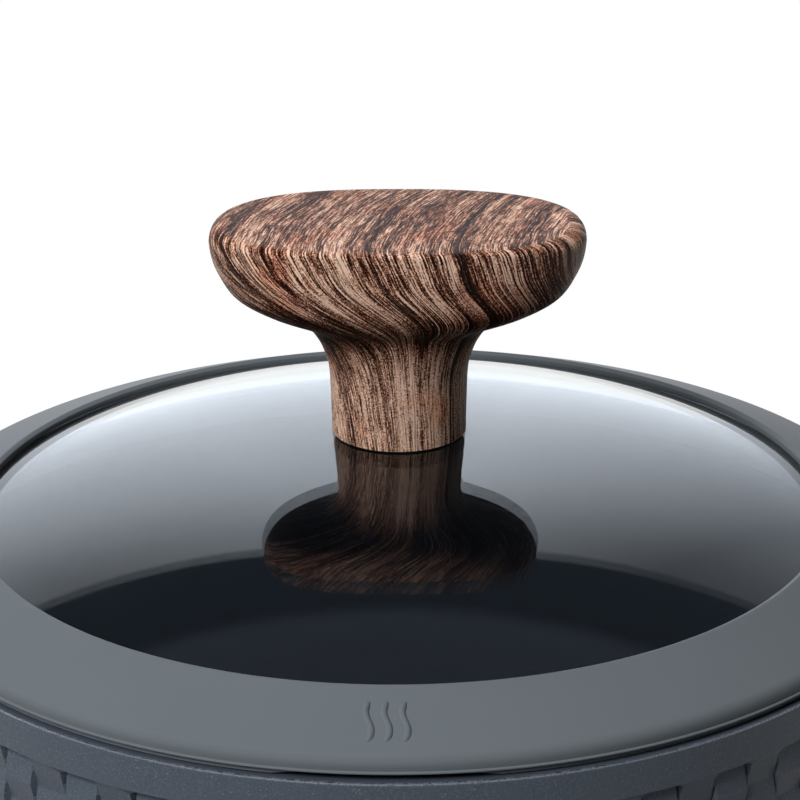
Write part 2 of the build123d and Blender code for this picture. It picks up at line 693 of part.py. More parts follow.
# ---------------------------------------------------------------- pot: fluted wall, plain rim band
corner_in_r = POT_CORNER_R - POT_WALL
with BuildPart() as pot_shell:
    with BuildSketch(Plane.XZ) as pot_profile:
        with BuildLine():
            Polyline((0, pot_z), (POT_R - POT_CORNER_R, pot_z))
            CenterArc((POT_R - POT_CORNER_R, pot_z + POT_CORNER_R), POT_CORNER_R, -90, 90)
            Polyline(
                (POT_R, pot_z + POT_CORNER_R),
                (POT_R, rim_z - RIM_BAND_H - RIM_PROUD),
                (POT_R + RIM_PROUD, rim_z - RIM_BAND_H),
                (POT_R + RIM_PROUD, rim_z),
                (pot_bore_r, rim_z),
                (pot_bore_r, pot_z + POT_FLOOR + corner_in_r),
            )
            CenterArc((pot_bore_r - corner_in_r, pot_z + POT_FLOOR + corner_in_r), corner_in_r, 0, -90)
            Polyline((pot_bore_r - corner_in_r, pot_z + POT_FLOOR), (0, pot_z + POT_FLOOR), (0, pot_z))
        make_face()
    revolve(axis=Axis.Z)
    fillet(pot_shell.edges().filter_by(GeomType.CIRCLE).group_by(Axis.Z)[-1], RIM_ROUND)
    with BuildSketch(Plane.XY.offset(pot_z + POT_CORNER_R)) as flutes:
        with PolarLocations(POT_R, FLUTE_COUNT, start_angle=180 / FLUTE_COUNT):
            RegularPolygon(FLUTE_DEPTH, 4)
    extrude(amount=POT_H - POT_CORNER_R - RIM_BAND_H - RIM_PROUD, mode=Mode.SUBTRACT)
export(pot_shell.part, "pot_shell")

# ---------------------------------------------------------------- ear handles on their brackets
ear_top_z = rim_z - EAR_BELOW_RIM
ear_mid_z = ear_top_z - EAR_T / 2
bracket_in_r = POT_R + FIT
bracket_out_r = bracket_in_r + BRACKET_T
ear_root_r = bracket_out_r + FIT
tongue_root = bracket_out_r - BRACKET_T / 2
tongue_tip = bracket_out_r + TONGUE_L
slot_end = tongue_tip + RUN
ear_screw_x = bracket_out_r + EAR_SCREW_OUT

with BuildPart() as handle_bracket:
    with BuildSketch(Plane.XZ.rotated((0, 0, -BRACKET_ARC / 2))) as bracket_section:
        with Locations(((bracket_in_r + bracket_out_r) / 2, ear_mid_z)):
            Rectangle(BRACKET_T, BRACKET_H)
    revolve(axis=Axis.Z, revolution_arc=BRACKET_ARC)
    with BuildSketch(Plane.XY.offset(ear_mid_z - TONGUE_T / 2)) as tongue:
        with Locations(((tongue_root + tongue_tip) / 2, 0)):
            Rectangle(tongue_tip - tongue_root, TONGUE_W)
        with Locations((ear_screw_x, 0)):
            Circle(EAR_SCREW_R + FIT, mode=Mode.SUBTRACT)
    extrude(amount=TONGUE_T)

with BuildPart() as handle_ear:
    with BuildSketch(Plane.XY.offset(ear_top_z - EAR_T)) as ear_plan:
        with Locations((POT_R, 0)):
            Ellipse(EAR_REACH, EAR_HALF_W)
        Circle(ear_root_r, mode=Mode.SUBTRACT)
    extrude(amount=EAR_T)
    ear_rims = handle_ear.edges().filter_by(GeomType.ELLIPSE)
    fillet(ear_rims, EAR_ROUND)
    with BuildSketch(Plane.XY.offset(ear_mid_z - TONGUE_T / 2 - FIT)) as tongue_slot:
        with Locations(((tongue_root + slot_end) / 2, 0)):
            Rectangle(slot_end - tongue_root, TONGUE_W + 2 * FIT)
    extrude(amount=TONGUE_T + 2 * FIT, mode=Mode.SUBTRACT)
    with BuildSketch(Plane.XY.offset(ear_top_z - EAR_T)) as ear_screw_room:
        with Locations((ear_screw_x, 0)):
            Circle(EAR_SCREW_HEAD_R + FIT)
    extrude(amount=EAR_SCREW_HEAD_H + FIT, mode=Mode.SUBTRACT)
    with BuildSketch(Plane.XY.offset(ear_top_z - EAR_T)) as ear_screw_bore:
        with Locations((ear_screw_x, 0)):
            Circle(EAR_SCREW_R + FIT)
    extrude(amount=EAR_SCREW_LENGTH, mode=Mode.SUBTRACT)

with BuildPart() as handle_screw:
    with BuildSketch(Plane.XY.offset(ear_top_z - EAR_T)) as ear_screw_head:
        with Locations((ear_screw_x, 0)):
            Circle(EAR_SCREW_HEAD_R)
    extrude(amount=EAR_SCREW_HEAD_H)
    with BuildSketch(Plane.XY.offset(ear_top_z - EAR_T)) as ear_screw_shank:
        with Locations((ear_screw_x, 0)):
            Circle(EAR_SCREW_R)
    extrude(amount=EAR_SCREW_LENGTH - FIT)

for piece, name in ((handle_bracket, "bracket"), (handle_ear, "handle"), (handle_screw, "handle_screw")):
    export(piece.part, f"{name}_right")
    export(piece.part.rotate(Axis.Z, 180), f"{name}_left")

# ---------------------------------------------------------------- lid glass, a domed disc
dome_drop = GLASS_CROWN_H - (RING_CREST_H - RING_LIP_PROUD)
dome_r = (ring_crest_r**2 + dome_drop**2) / (2 * dome_drop)
dome_centre_z = lid_z + GLASS_CROWN_H - dome_r
glass_edge_r = ring_crest_r + GLASS_GRIP


def dome_z(r, inward=0.0):
    """Height of the glass's outer surface at a radius, or of one that lies inward of it."""
    return dome_centre_z + sqrt((dome_r - inward) ** 2 - r**2)


def dome_band(r_in, r_out, outward, inward):
    """Closed section between two radii and two dome surfaces, each given by its offset."""
    top_in = (r_in, dome_z(r_in, -outward))
    top_out = (r_out, dome_z(r_out, -outward))
    low_out = (r_out, dome_z(r_out, inward))
    low_in = (r_in, dome_z(r_in, inward))
    mid = (r_in + r_out) / 2
    ThreePointArc(top_in, (mid, dome_z(mid, -outward)), top_out)
    Line(top_out, low_out)
    ThreePointArc(low_out, (mid, dome_z(mid, inward)), low_in)
    Line(low_in, top_in)


with BuildPart() as lid_glass:
    with BuildSketch(Plane.XZ) as glass_profile:
        with BuildLine():
            dome_band(GLASS_HOLE_R, glass_edge_r, 0, GLASS_T)
        make_face()
    revolve(axis=Axis.Z)
export(lid_glass.part, "lid_glass")

# ---------------------------------------------------------------- lid ring: one silicone moulding
edge_r = ring_r - RING_LEDGE_W
shoulder_z = RING_EDGE_H + RING_ROUND
plug_r = pot_bore_r - PLUG_GAP
plug_in_r = plug_r - PLUG_T
under_lip_r = ring_crest_r + GLASS_GRIP - RING_UNDER_LIP
seat_z = -RING_SKIRT_H
with BuildPart() as lid_ring:
    with BuildSketch(Plane.XZ) as ring_profile:
        with BuildLine():
            Polyline(
                (ring_r, lid_z),
                (ring_r, lid_z + RING_LEDGE_H),
                (edge_r, lid_z + RING_LEDGE_H),
                (edge_r, lid_z + RING_EDGE_H),
            )
            RadiusArc(
                (edge_r, lid_z + RING_EDGE_H),
                (edge_r - RING_ROUND, lid_z + shoulder_z),
                -RING_ROUND,
            )
            Polyline(
                (edge_r - RING_ROUND, lid_z + shoulder_z),
                (ring_crest_r, lid_z + RING_CREST_H),
                (ring_crest_r - RING_LIP_IN, lid_z + RING_CREST_H - RING_LIP_FALL),
                (ring_crest_r - RING_LIP_IN, dome_z(ring_crest_r - RING_LIP_IN, GLASS_T / 2)),
                (under_lip_r, dome_z(under_lip_r, GLASS_T / 2)),
                (under_lip_r, lid_z + seat_z),
                (plug_in_r, lid_z + seat_z),
                (plug_in_r, lid_z - PLUG_DEPTH),
                (plug_r - PLUG_TAPER, lid_z - PLUG_DEPTH),
                (plug_r, lid_z - PLUG_DEPTH + PLUG_TAPER_H),
                (plug_r, lid_z + seat_z),
                (ring_r - RING_SKIRT_IN, lid_z + seat_z),
                (ring_r - RING_SKIRT_IN, lid_z),
                (ring_r, lid_z),
            )
        make_face()
    revolve(axis=Axis.Z)
    fillet(lid_ring.edges().filter_by(GeomType.CIRCLE).group_by(Axis.Z)[-1], RING_CREST_ROUND)
    # groove that the glass edge sits in
    with BuildSketch(Plane.XZ) as groove_profile:
        with BuildLine():
            dome_band(ring_crest_r - 2 * RING_LIP_IN, glass_edge_r + FIT, FIT, GLASS_T + FIT)
        make_face()
    revolve(axis=Axis.Z, mode=Mode.SUBTRACT)
    # steam outlet at the front: the skirt and the plug are cut away, with flared ends
    with BuildSketch(Plane.XZ.offset(plug_in_r - PLUG_T)) as outlet_section:
        with BuildLine():
            half = VENT_OUTLET_W / 2
            Polyline(
                (-half, lid_z),
                (half, lid_z),
                (half + VENT_OUTLET_FLARE, lid_z + seat_z),
                (half + VENT_OUTLET_FLARE, lid_z - PLUG_DEPTH - RUN),
                (-half - VENT_OUTLET_FLARE, lid_z - PLUG_DEPTH - RUN),
                (-half - VENT_OUTLET_FLARE, lid_z + seat_z),
                close=True,
            )
        make_face()
    extrude(amount=ring_r - plug_in_r + 2 * PLUG_T, mode=Mode.SUBTRACT)
export(lid_ring.part, "lid_ring")

# ---------------------------------------------------------------- lid knob: round neck, long flat-topped head
# Rows of the neck: share of its height, and of its growth in radius. Rows of the head: share of its
# height, how far it has grown from the throat in length and in depth, and how far its four curves'
# handles reach towards the corners (0.552 is an ellipse, more is squarer).
ROUND_HANDLE = 0.552
KNOB_NECK_SECTIONS = ((0.0, 0.0), (0.3, 0.05), (0.6, 0.17), (0.84, 0.48), (1.0, 1.0))
KNOB_HEAD_SECTIONS = (
    (0.00, 0.00, 0.00, ROUND_HANDLE),
    (0.12, 0.39, 0.29, 0.580),
    (0.28, 0.70, 0.60, 0.620),
    (0.48, 0.89, 0.83, 0.655),
    (0.70, 0.98, 0.96, 0.664),
    (1.00, 1.00, 1.00, 0.664),
)
knob_z = lid_z + GLASS_CROWN_H + KNOB_SEAM
insert_top_z = knob_z + INSERT_L
head_h = KNOB_H - KNOB_NECK_H
throat_r = KNOB_NECK_R + KNOB_FLARE


def squared_oval(half_length, half_depth, handle):
    """Closed outline of four equal quarter curves, an ellipse drawn out towards its corners."""
    a, b = half_length, half_depth
    Bezier((a, 0), (a, b * handle), (a * handle, b), (0, b))
    Bezier((0, b), (-a * handle, b), (-a, b * handle), (-a, 0))
    Bezier((-a, 0), (-a, -b * handle), (-a * handle, -b), (0, -b))
    Bezier((0, -b), (a * handle, -b), (a, -b * handle), (a, 0))


with BuildPart() as lid_knob:
    for head_share, long_share, deep_share, handle in KNOB_HEAD_SECTIONS:
        with BuildSketch(Plane.XY.offset(knob_z + KNOB_NECK_H + head_h * head_share)):
            with BuildLine():
                squared_oval(
                    throat_r + (KNOB_LENGTH / 2 - throat_r) * long_share,
                    throat_r + (KNOB_DEPTH / 2 - throat_r) * deep_share,
                    handle,
                )
            make_face()
    loft()
    fillet(lid_knob.faces().sort_by(Axis.Z)[-1].edges(), KNOB_RIM_ROUND)
    for neck_share, flare_share in KNOB_NECK_SECTIONS:
        with BuildSketch(Plane.XY.offset(knob_z + KNOB_NECK_H * neck_share)):
            with BuildLine():
                neck_r = KNOB_NECK_R + KNOB_FLARE * flare_share
                squared_oval(neck_r, neck_r, ROUND_HANDLE)
            make_face()
    loft()
    with BuildSketch(Plane.XY.offset(knob_z)) as insert_bore:
        Circle(INSERT_R + FIT)
    extrude(amount=INSERT_L + FIT, mode=Mode.SUBTRACT)
export(lid_knob.part, "lid_knob")

# ---------------------------------------------------------------- knob's insert, screw and washers
with BuildPart() as knob_insert:
    with BuildSketch(Plane.XY.offset(knob_z)) as insert_section:
        Circle(INSERT_R)
        Circle(LID_SCREW_R + FIT, mode=Mode.SUBTRACT)
    extrude(amount=INSERT_L)
export(knob_insert.part, "knob_insert")

soft_washer_low_z = dome_z(LID_WASHER_R, GLASS_T) - SOFT_WASHER_T
steel_washer_low_z = soft_washer_low_z - LID_WASHER_T
with BuildPart() as knob_seal:
    with BuildSketch(Plane.XZ) as seal_profile:
        with BuildLine():
            Polyline(
                (GLASS_HOLE_R, dome_z(GLASS_HOLE_R, -FIT)),
                (GLASS_HOLE_R, knob_z - FIT),
                (KNOB_SEAT_R, knob_z - FIT),
                (KNOB_SEAT_R, dome_z(KNOB_SEAT_R, -FIT)),
            )
            ThreePointArc(
                (KNOB_SEAT_R, dome_z(KNOB_SEAT_R, -FIT)),
                ((KNOB_SEAT_R + GLASS_HOLE_R) / 2, dome_z((KNOB_SEAT_R + GLASS_HOLE_R) / 2, -FIT)),
                (GLASS_HOLE_R, dome_z(GLASS_HOLE_R, -FIT)),
            )
        make_face()
    revolve(axis=Axis.Z)
export(knob_seal.part, "knob_seal")

with BuildPart() as glass_washer:
    with BuildSketch(Plane.XZ) as soft_washer_profile:
        with BuildLine():
            mid_r = (LID_WASHER_R + LID_SCREW_R) / 2
            ThreePointArc(
                (LID_WASHER_R, dome_z(LID_WASHER_R, GLASS_T + FIT)),
                (mid_r + FIT, dome_z(mid_r + FIT, GLASS_T + FIT)),
                (LID_SCREW_R + 2 * FIT, dome_z(LID_SCREW_R + 2 * FIT, GLASS_T + FIT)),
            )
            Polyline(
                (LID_SCREW_R + 2 * FIT, dome_z(LID_SCREW_R + 2 * FIT, GLASS_T + FIT)),
                (LID_SCREW_R + 2 * FIT, soft_washer_low_z),
                (LID_WASHER_R, soft_washer_low_z),
                (LID_WASHER_R, dome_z(LID_WASHER_R, GLASS_T + FIT)),
            )
        make_face()
    revolve(axis=Axis.Z)
export(glass_washer.part, "glass_washer")

with BuildPart() as steel_washer:
    with BuildSketch(Plane.XY.offset(steel_washer_low_z)) as washer_section:
        Circle(LID_WASHER_R)
        Circle(LID_SCREW_R + 2 * FIT, mode=Mode.SUBTRACT)
    extrude(amount=LID_WASHER_T - FIT)
export(steel_washer.part, "steel_washer")

with BuildPart() as knob_screw:
    with BuildSketch(Plane.XY.offset(steel_washer_low_z - FIT)) as lid_screw_head:
        Circle(LID_SCREW_HEAD_R)
    extrude(amount=-LID_SCREW_HEAD_H)
    fillet(knob_screw.edges().group_by(Axis.Z)[0], LID_SCREW_HEAD_ROUND)
    with BuildSketch(Plane.XY.offset(steel_washer_low_z - FIT)) as lid_screw_shank:
        Circle(LID_SCREW_R)
    extrude(amount=insert_top_z - LID_SCREW_SHORT - steel_washer_low_z)
export(knob_screw.part, "knob_screw")
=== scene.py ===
"""Looks of an electric hot pot: glass lid, silicone ring, wood-print knob, coated pot and power base."""
from math import cos, hypot, pi, radians, sin, sqrt

import bmesh
import bpy
from mathutils import Matrix, Vector


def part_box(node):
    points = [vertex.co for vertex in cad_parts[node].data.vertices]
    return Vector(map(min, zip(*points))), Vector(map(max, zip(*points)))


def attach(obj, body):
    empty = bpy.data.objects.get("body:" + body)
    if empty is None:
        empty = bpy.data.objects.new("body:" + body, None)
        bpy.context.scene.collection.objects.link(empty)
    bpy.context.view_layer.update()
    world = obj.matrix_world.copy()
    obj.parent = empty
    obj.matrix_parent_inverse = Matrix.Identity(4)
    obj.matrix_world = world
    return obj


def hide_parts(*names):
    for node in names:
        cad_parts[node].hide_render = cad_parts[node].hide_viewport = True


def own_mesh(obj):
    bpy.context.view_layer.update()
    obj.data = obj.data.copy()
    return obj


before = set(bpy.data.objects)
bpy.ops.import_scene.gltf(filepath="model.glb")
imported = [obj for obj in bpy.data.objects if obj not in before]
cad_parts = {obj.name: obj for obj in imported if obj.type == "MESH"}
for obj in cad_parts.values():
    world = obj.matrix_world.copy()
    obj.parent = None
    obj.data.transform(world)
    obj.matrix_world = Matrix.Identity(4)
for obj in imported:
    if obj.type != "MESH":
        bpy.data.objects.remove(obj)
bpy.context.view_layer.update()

MM = 0.001

# ------------------------------------------------------------------ camera
# A long lens looks down on the lid from the front, so close that the lid fills the picture. It is aimed from a
# point just above the ring's seat, and three small turns set the framing. Here and below, lengths are in
# millimetres and angles in degrees.
PLUG_DEPTH = 8.0
AIM_ABOVE_SEAT = 0.5
CAMERA_DISTANCE = 600.0
CAMERA_RISE = 23.53
CAMERA_SIDE = 1.6
LENS = 136.8
NEAREST = 10.0
TURN_RIGHT, TURN_UP, ROLL = 0.02, 2.503, -0.454


def pick(piece):
    """Selects one piece alone, so that operators work on it."""
    bpy.ops.object.select_all(action="DESELECT")
    piece.select_set(True)
    bpy.context.view_layer.objects.active = piece


def new_object(name, data):
    """Puts a new object in the scene and picks it."""
    made = bpy.data.objects.new(name, data)
    bpy.context.scene.collection.objects.link(made)
    pick(made)
    return made


ring_seat = Vector((0, 0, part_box("lid_ring")[0].z + PLUG_DEPTH * MM))
away = Vector((
    cos(radians(CAMERA_RISE)) * sin(radians(CAMERA_SIDE)),
    -cos(radians(CAMERA_RISE)) * cos(radians(CAMERA_SIDE)),
    sin(radians(CAMERA_RISE)),
))
camera = new_object("camera", bpy.data.cameras.new("camera"))
camera.data.lens = LENS
camera.data.clip_start = NEAREST * MM
aim = (-away).to_track_quat("-Z", "Y").to_matrix()
for angle, axis in ((-TURN_RIGHT, "Y"), (TURN_UP, "X"), (ROLL, "Z")):
    aim = aim @ Matrix.Rotation(radians(angle), 3, axis)
stand = ring_seat + Vector((0, 0, AIM_ABOVE_SEAT * MM)) + away * CAMERA_DISTANCE * MM
camera.matrix_world = Matrix.Translation(stand) @ aim.to_4x4()
bpy.context.scene.camera = camera
bpy.context.scene.view_settings.view_transform = "Standard"

# ------------------------------------------------------------------ table, studio and lamps
# A white sweep lies under and around the pot. Polished things mirror a room with bright walls, which end in a
# straight edge, a dark gap and a dim ceiling. Soft light falls from the front left and from above, and a
# little more comes from the left and from behind.
WALL_MIRRORED = (  # slope of the ray, as rise over reach, and strength
    (-0.20, 1.12), (0.04, 1.31), (0.10, 1.46), (0.22, 1.54), (0.37, 1.61), (0.60, 1.70),
    (0.71, 1.64), (0.855, 1.40), (0.975, 1.17), (1.12, 1.01), (1.135, 0.0), (2.4, 0.0),
)
SLOPE_LOW, SLOPE_HIGH = -0.5, 2.5
WALL_FALL = 0.3
BRIGHTEST = 2.0
WALL_TINT = "#F1F6FF"
RIGHT_FROM, RIGHT_TO, RIGHT_DIM = 0.07, 0.45, 0.27
LEFT_FROM, LEFT_TO, LEFT_DIM = -0.20, -0.60, 0.53
CEILING_FROM, CEILING_TO = 1.54, 1.65
GAP_MIRRORED, CEILING_MIRRORED = "#4B525A", "#747A84"
LIGHT_FROM_LEFT, LIGHT_FROM_RIGHT, LIGHT_FROM_BEHIND = 0.22, 0.0, 0.25
BEHIND_FROM = 0.2
LOW_FROM, LOW_TO, LOW_SHARE = -0.1, 0.4, 0.12
LIGHT_THROUGH_GLASS = 0.8
SWEEP_R = 3000.0
SWEEP_MIRRORED = 1.12
SHADOW_FROM, SHADOW_TO = 160.0, 360.0
LAMPS = (  # name, place, size and watts
    ("key_lamp", (-600, -780, 1000), 550.0, 16.0),
    ("top_lamp", (-200, -100, 1350), 500.0, 5.2),
)


def linear(colour):
    """A screen colour, written in hex, as the linear values that a shader takes."""
    parts = [int(colour[i:i + 2], 16) / 255 for i in (1, 3, 5)]
    return [p / 12.92 if p <= 0.04045 else ((p + 0.055) / 1.055) ** 2.4 for p in parts] + [1.0]


def add(tree, kind, inputs=None, stops=(), **settings):
    """Adds one shader node. An input takes a value or another node's output, and stops are a ramp's."""
    made = tree.nodes.new("ShaderNode" + kind)
    for name, value in settings.items():
        setattr(made, name, value)
    for name, value in (inputs or {}).items():
        if isinstance(value, bpy.types.NodeSocket):
            tree.links.new(value, made.inputs[name])
        else:
            made.inputs[name].default_value = linear(value) if isinstance(value, str) else value
    for i, (place, colour) in enumerate(stops):
        ramp = made.color_ramp.elements
        stop = ramp[i] if i < 2 else ramp.new(place)
        stop.position = place
        stop.color = linear(colour) if isinstance(colour, str) else (colour, colour, colour, 1)
    return made


studio = bpy.data.worlds.new("studio")
bpy.context.scene.world = studio
studio.use_nodes = True
tree = studio.node_tree
tree.nodes.clear()

# The mirrored room: a ray's slope and its place across, on a square room's walls.
way = add(tree, "TexCoord").outputs["Generated"]
where = add(tree, "SeparateXYZ", {0: way}).outputs
level = add(tree, "VectorMath", {0: way}, operation="ABSOLUTE").outputs[0]
level = add(tree, "SeparateXYZ", {0: level}).outputs
ahead = add(tree, "Math", {0: level["X"], 1: level["Y"]}, operation="MAXIMUM").outputs[0]
slope = add(tree, "Math", {0: where["Z"], 1: ahead}, operation="DIVIDE").outputs[0]
across = add(tree, "Math", {0: where["X"], 1: ahead}, operation="DIVIDE").outputs[0]
aside = add(tree, "Math", {0: across}, operation="ABSOLUTE").outputs[0]
raised = add(tree, "Math", {0: aside, 1: WALL_FALL, 2: slope}, operation="MULTIPLY_ADD").outputs[0]
scaled = add(tree, "MapRange", {0: raised, 1: SLOPE_LOW, 2: SLOPE_HIGH}).outputs[0]
wall = add(tree, "ValToRGB", {0: scaled}, stops=[
    ((place - SLOPE_LOW) / (SLOPE_HIGH - SLOPE_LOW), strength / BRIGHTEST) for place, strength in WALL_MIRRORED
]).outputs[0]
dim_right = add(tree, "MapRange", {0: across, 1: RIGHT_FROM, 2: RIGHT_TO, 3: 1.0, 4: RIGHT_DIM}).outputs[0]
dim_left = add(tree, "MapRange", {0: across, 1: LEFT_TO, 2: LEFT_FROM, 3: LEFT_DIM, 4: 1.0}).outputs[0]
dimmed = add(tree, "Math", {0: dim_right, 1: dim_left}, operation="MULTIPLY").outputs[0]
dimmed = add(tree, "Math", {0: dimmed, 1: BRIGHTEST}, operation="MULTIPLY").outputs[0]
over = add(tree, "MapRange", {0: slope, 1: CEILING_FROM, 2: CEILING_TO}).outputs[0]
over = add(tree, "Mix", {0: over, 6: GAP_MIRRORED, 7: CEILING_MIRRORED}, data_type="RGBA").outputs[2]
room = add(tree, "VectorMath", {0: wall, 1: dimmed, 2: over}, operation="MULTIPLY_ADD").outputs[0]
room = add(tree, "Mix", {0: 1.0, 6: room, 7: WALL_TINT}, data_type="RGBA", blend_type="MULTIPLY").outputs[2]

# The soft light: stronger from the left and from behind, and weak from below.
sides = {0: where["X"], 1: -1.0, 2: 1.0, 3: LIGHT_FROM_LEFT, 4: LIGHT_FROM_RIGHT}
sides = add(tree, "MapRange", sides).outputs[0]
behind = add(tree, "MapRange", {0: where["Y"], 1: BEHIND_FROM, 2: 1.0, 4: LIGHT_FROM_BEHIND}).outputs[0]
sides = add(tree, "Math", {0: sides, 1: behind}, operation="ADD").outputs[0]
under = add(tree, "MapRange", {0: where["Z"], 1: LOW_FROM, 2: LOW_TO, 3: LOW_SHARE, 4: 1.0}).outputs[0]
soft = add(tree, "Math", {0: sides, 1: under}, operation="MULTIPLY").outputs[0]
rays = add(tree, "LightPath").outputs
soft = add(tree, "Mix", {0: rays["Is Transmission Ray"], 2: soft, 3: LIGHT_THROUGH_GLASS}).outputs[0]

# Gloss and glass see the room, matt things get the soft light, and behind it all is plain white.
direct = add(tree, "Math", {0: rays["Diffuse Depth"], 1: 0.5}, operation="LESS_THAN").outputs[0]
shine = {0: rays["Is Glossy Ray"], 1: rays["Is Transmission Ray"]}
shine = add(tree, "Math", shine, operation="MAXIMUM").outputs[0]
shine = add(tree, "Math", {0: shine, 1: direct}, operation="MULTIPLY").outputs[0]
lit = add(tree, "Mix", {0: shine, 6: soft, 7: room}, data_type="RGBA").outputs[2]
seen = add(tree, "Mix", {0: rays["Is Camera Ray"], 6: lit, 7: "#FFFFFF"}, data_type="RGBA").outputs[2]
sky = add(tree, "Background", {"Color": seen})
add(tree, "OutputWorld", {"Surface": sky.outputs[0]})

bpy.ops.object.select_all(action="DESELECT")
bpy.ops.mesh.primitive_circle_add(vertices=96, radius=SWEEP_R * MM, fill_type="NGON", location=(0, 0, 0))
sweep = bpy.context.object
sweep.name = "sweep"

# Matt white paper: plain and even. It shows the pot's shadow near it, and farther off it is as white as the
# room. It sends little light back up at the pot.
paper = bpy.data.materials.new("white_paper")
paper.use_nodes = True
tree = paper.node_tree
tree.nodes.clear()
spot = add(tree, "TexCoord").outputs["Object"]
spot = add(tree, "VectorMath", {0: spot}, operation="LENGTH").outputs["Value"]
far = {0: spot, 1: SHADOW_FROM * MM, 2: SHADOW_TO * MM}
far = add(tree, "MapRange", far, interpolation_type="SMOOTHSTEP").outputs[0]
rays = add(tree, "LightPath").outputs
direct = add(tree, "Math", {0: rays["Diffuse Depth"], 1: 0.5}, operation="LESS_THAN").outputs[0]
glossy = add(tree, "Math", {0: rays["Is Glossy Ray"], 1: direct}, operation="MULTIPLY").outputs[0]
shine = add(tree, "Math", {0: glossy, 1: rays["Is Transmission Ray"]}, operation="MAXIMUM").outputs[0]
looked = add(tree, "Math", {0: rays["Is Camera Ray"], 1: shine}, operation="MAXIMUM").outputs[0]
glow = add(tree, "Math", {0: far, 1: looked}, operation="MULTIPLY").outputs[0]
tone = add(tree, "Mix", {0: rays["Is Diffuse Ray"], 6: "#E9E9EA", 7: "#4A4B4D"}, data_type="RGBA").outputs[2]
matt = add(tree, "BsdfDiffuse", {"Color": tone})
strength = add(tree, "MapRange", {0: shine, 3: 1.0, 4: SWEEP_MIRRORED}).outputs[0]
white = add(tree, "Emission", {"Color": "#FFFFFF", "Strength": strength})
both = add(tree, "MixShader", {0: glow, 1: matt.outputs[0], 2: white.outputs[0]})
add(tree, "OutputMaterial", {"Surface": both.outputs[0]})
sweep.data.materials.append(paper)

for name, place, size, power in LAMPS:
    lamp = new_object(name, bpy.data.lights.new(name, "AREA"))
    lamp.location = Vector(place) * MM
    lamp.rotation_euler = (ring_seat - lamp.location).to_track_quat("-Z", "Y").to_euler()
    lamp.data.size = size * MM
    lamp.data.energy = power
    lamp.visible_glossy = False
    lamp.visible_transmission = False

# ------------------------------------------------------------------ base: housing, cover and feet
# An injection-moulded housing with its power socket at the back. The cover screws up into it from below, on
# four rubber feet.


def new_material(name, colour, roughness, **inputs):
    """A material with one principled shader. Returns the material, its tree and that shader."""
    made = bpy.data.materials.new(name)
    made.use_nodes = True
    shader = made.node_tree.nodes["Principled BSDF"]
    shader.inputs["Base Color"].default_value = linear(colour)
    shader.inputs["Roughness"].default_value = roughness
    for label, value in inputs.items():
        shader.inputs[label.replace("_", " ")].default_value = value
    return made, made.node_tree, shader


def mottle(tree, shader, socket, low, high, size, detail=2.0):
    """Clouds of a size in millimetres, in which one of the shader's sockets goes from low to high."""
    place = add(tree, "TexCoord").outputs["Object"]
    cloud = {"Vector": place, "Scale": 1 / (size * MM), "Detail": detail}
    cloud = add(tree, "TexNoise", cloud).outputs["Fac"]
    if isinstance(low, str):
        found = add(tree, "Mix", {0: cloud, 6: low, 7: high}, data_type="RGBA").outputs[2]
    else:
        found = add(tree, "MapRange", {0: cloud, 3: low, 4: high}).outputs[0]
    tree.links.new(found, shader.inputs[socket])


def raise_grain(tree, shader, size, depth, strength, detail=2.0):
    """A fine relief all over, with grains of a size and a depth in millimetres."""
    place = add(tree, "TexCoord").outputs["Object"]
    grain = {"Vector": place, "Scale": 1 / (size * MM), "Detail": detail}
    grain = add(tree, "TexNoise", grain).outputs["Fac"]
    relief = add(tree, "Bump", {"Height": grain, "Strength": strength, "Distance": depth * MM})
    tree.links.new(relief.outputs[0], shader.inputs["Normal"])


def dress(material, *names):
    """Gives CAD nodes their finish."""
    for name in names:
        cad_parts[name].data.materials.clear()
        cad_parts[name].data.materials.append(material)


# Polypropylene from a spark-eroded mould: matt dark grey, in faint clouds where the melt flowed, with a grain
# that breaks every highlight. The grain is drawn some times coarser than the mould's, so that it shows.
moulded, tree, shader = new_material("moulded_polypropylene", "#4A5056", 0.55)
mottle(tree, shader, "Base Color", "#464C52", "#4F555B", size=16.7, detail=1.0)
raise_grain(tree, shader, size=0.35, depth=0.05, strength=0.35)
dress(moulded, "base_housing", "base_cover", "inlet_housing")

# Moulded rubber: near black and dull, with greyer specks of dust.
rubber, tree, shader = new_material("black_rubber", "#1D1E20", 0.8)
mottle(tree, shader, "Base Color", "#17181A", "#26282B", size=1.11, detail=3.0)
dress(rubber, "rubber_feet")

# ------------------------------------------------------------------ screws, washers, brackets and other steel
# Turned, pressed and bent steel that holds the rest together or sheathes the element. It is plated bright, but
# black where it would show through the glass.

# Zinc-plated steel: bright grey metal with sharper and duller patches from the plating bath.
plated, tree, shader = new_material("zinc_plated_steel", "#B9BDC2", 0.32, Metallic=1.0)
mottle(tree, shader, "Roughness", 0.24, 0.42, size=3.33)
dress(plated, "cover_screws", "plate_screws", "heating_element", "heat_shield", "spring_holder",
      "thermal_fuse", "switch_nut", "bracket_left", "bracket_right", "handle_screw_left", "handle_screw_right")

# Black oxide on steel, from a bath of hot salts: dark metal with a soft, uneven sheen.
blackened, tree, shader = new_material("black_oxide_steel", "#232426", 0.5, Metallic=1.0)
mottle(tree, shader, "Roughness", 0.42, 0.6, size=1.43)
dress(blackened, "steel_washer", "knob_screw")

# ------------------------------------------------------------------ heating plate and sensor cap
# Both are cast aluminium, faced on a lathe so that the pot lies flat on them. The plate screws down into the
# housing, and the cap stands in the hole in its middle.
TURNED_PITCH = 1.6

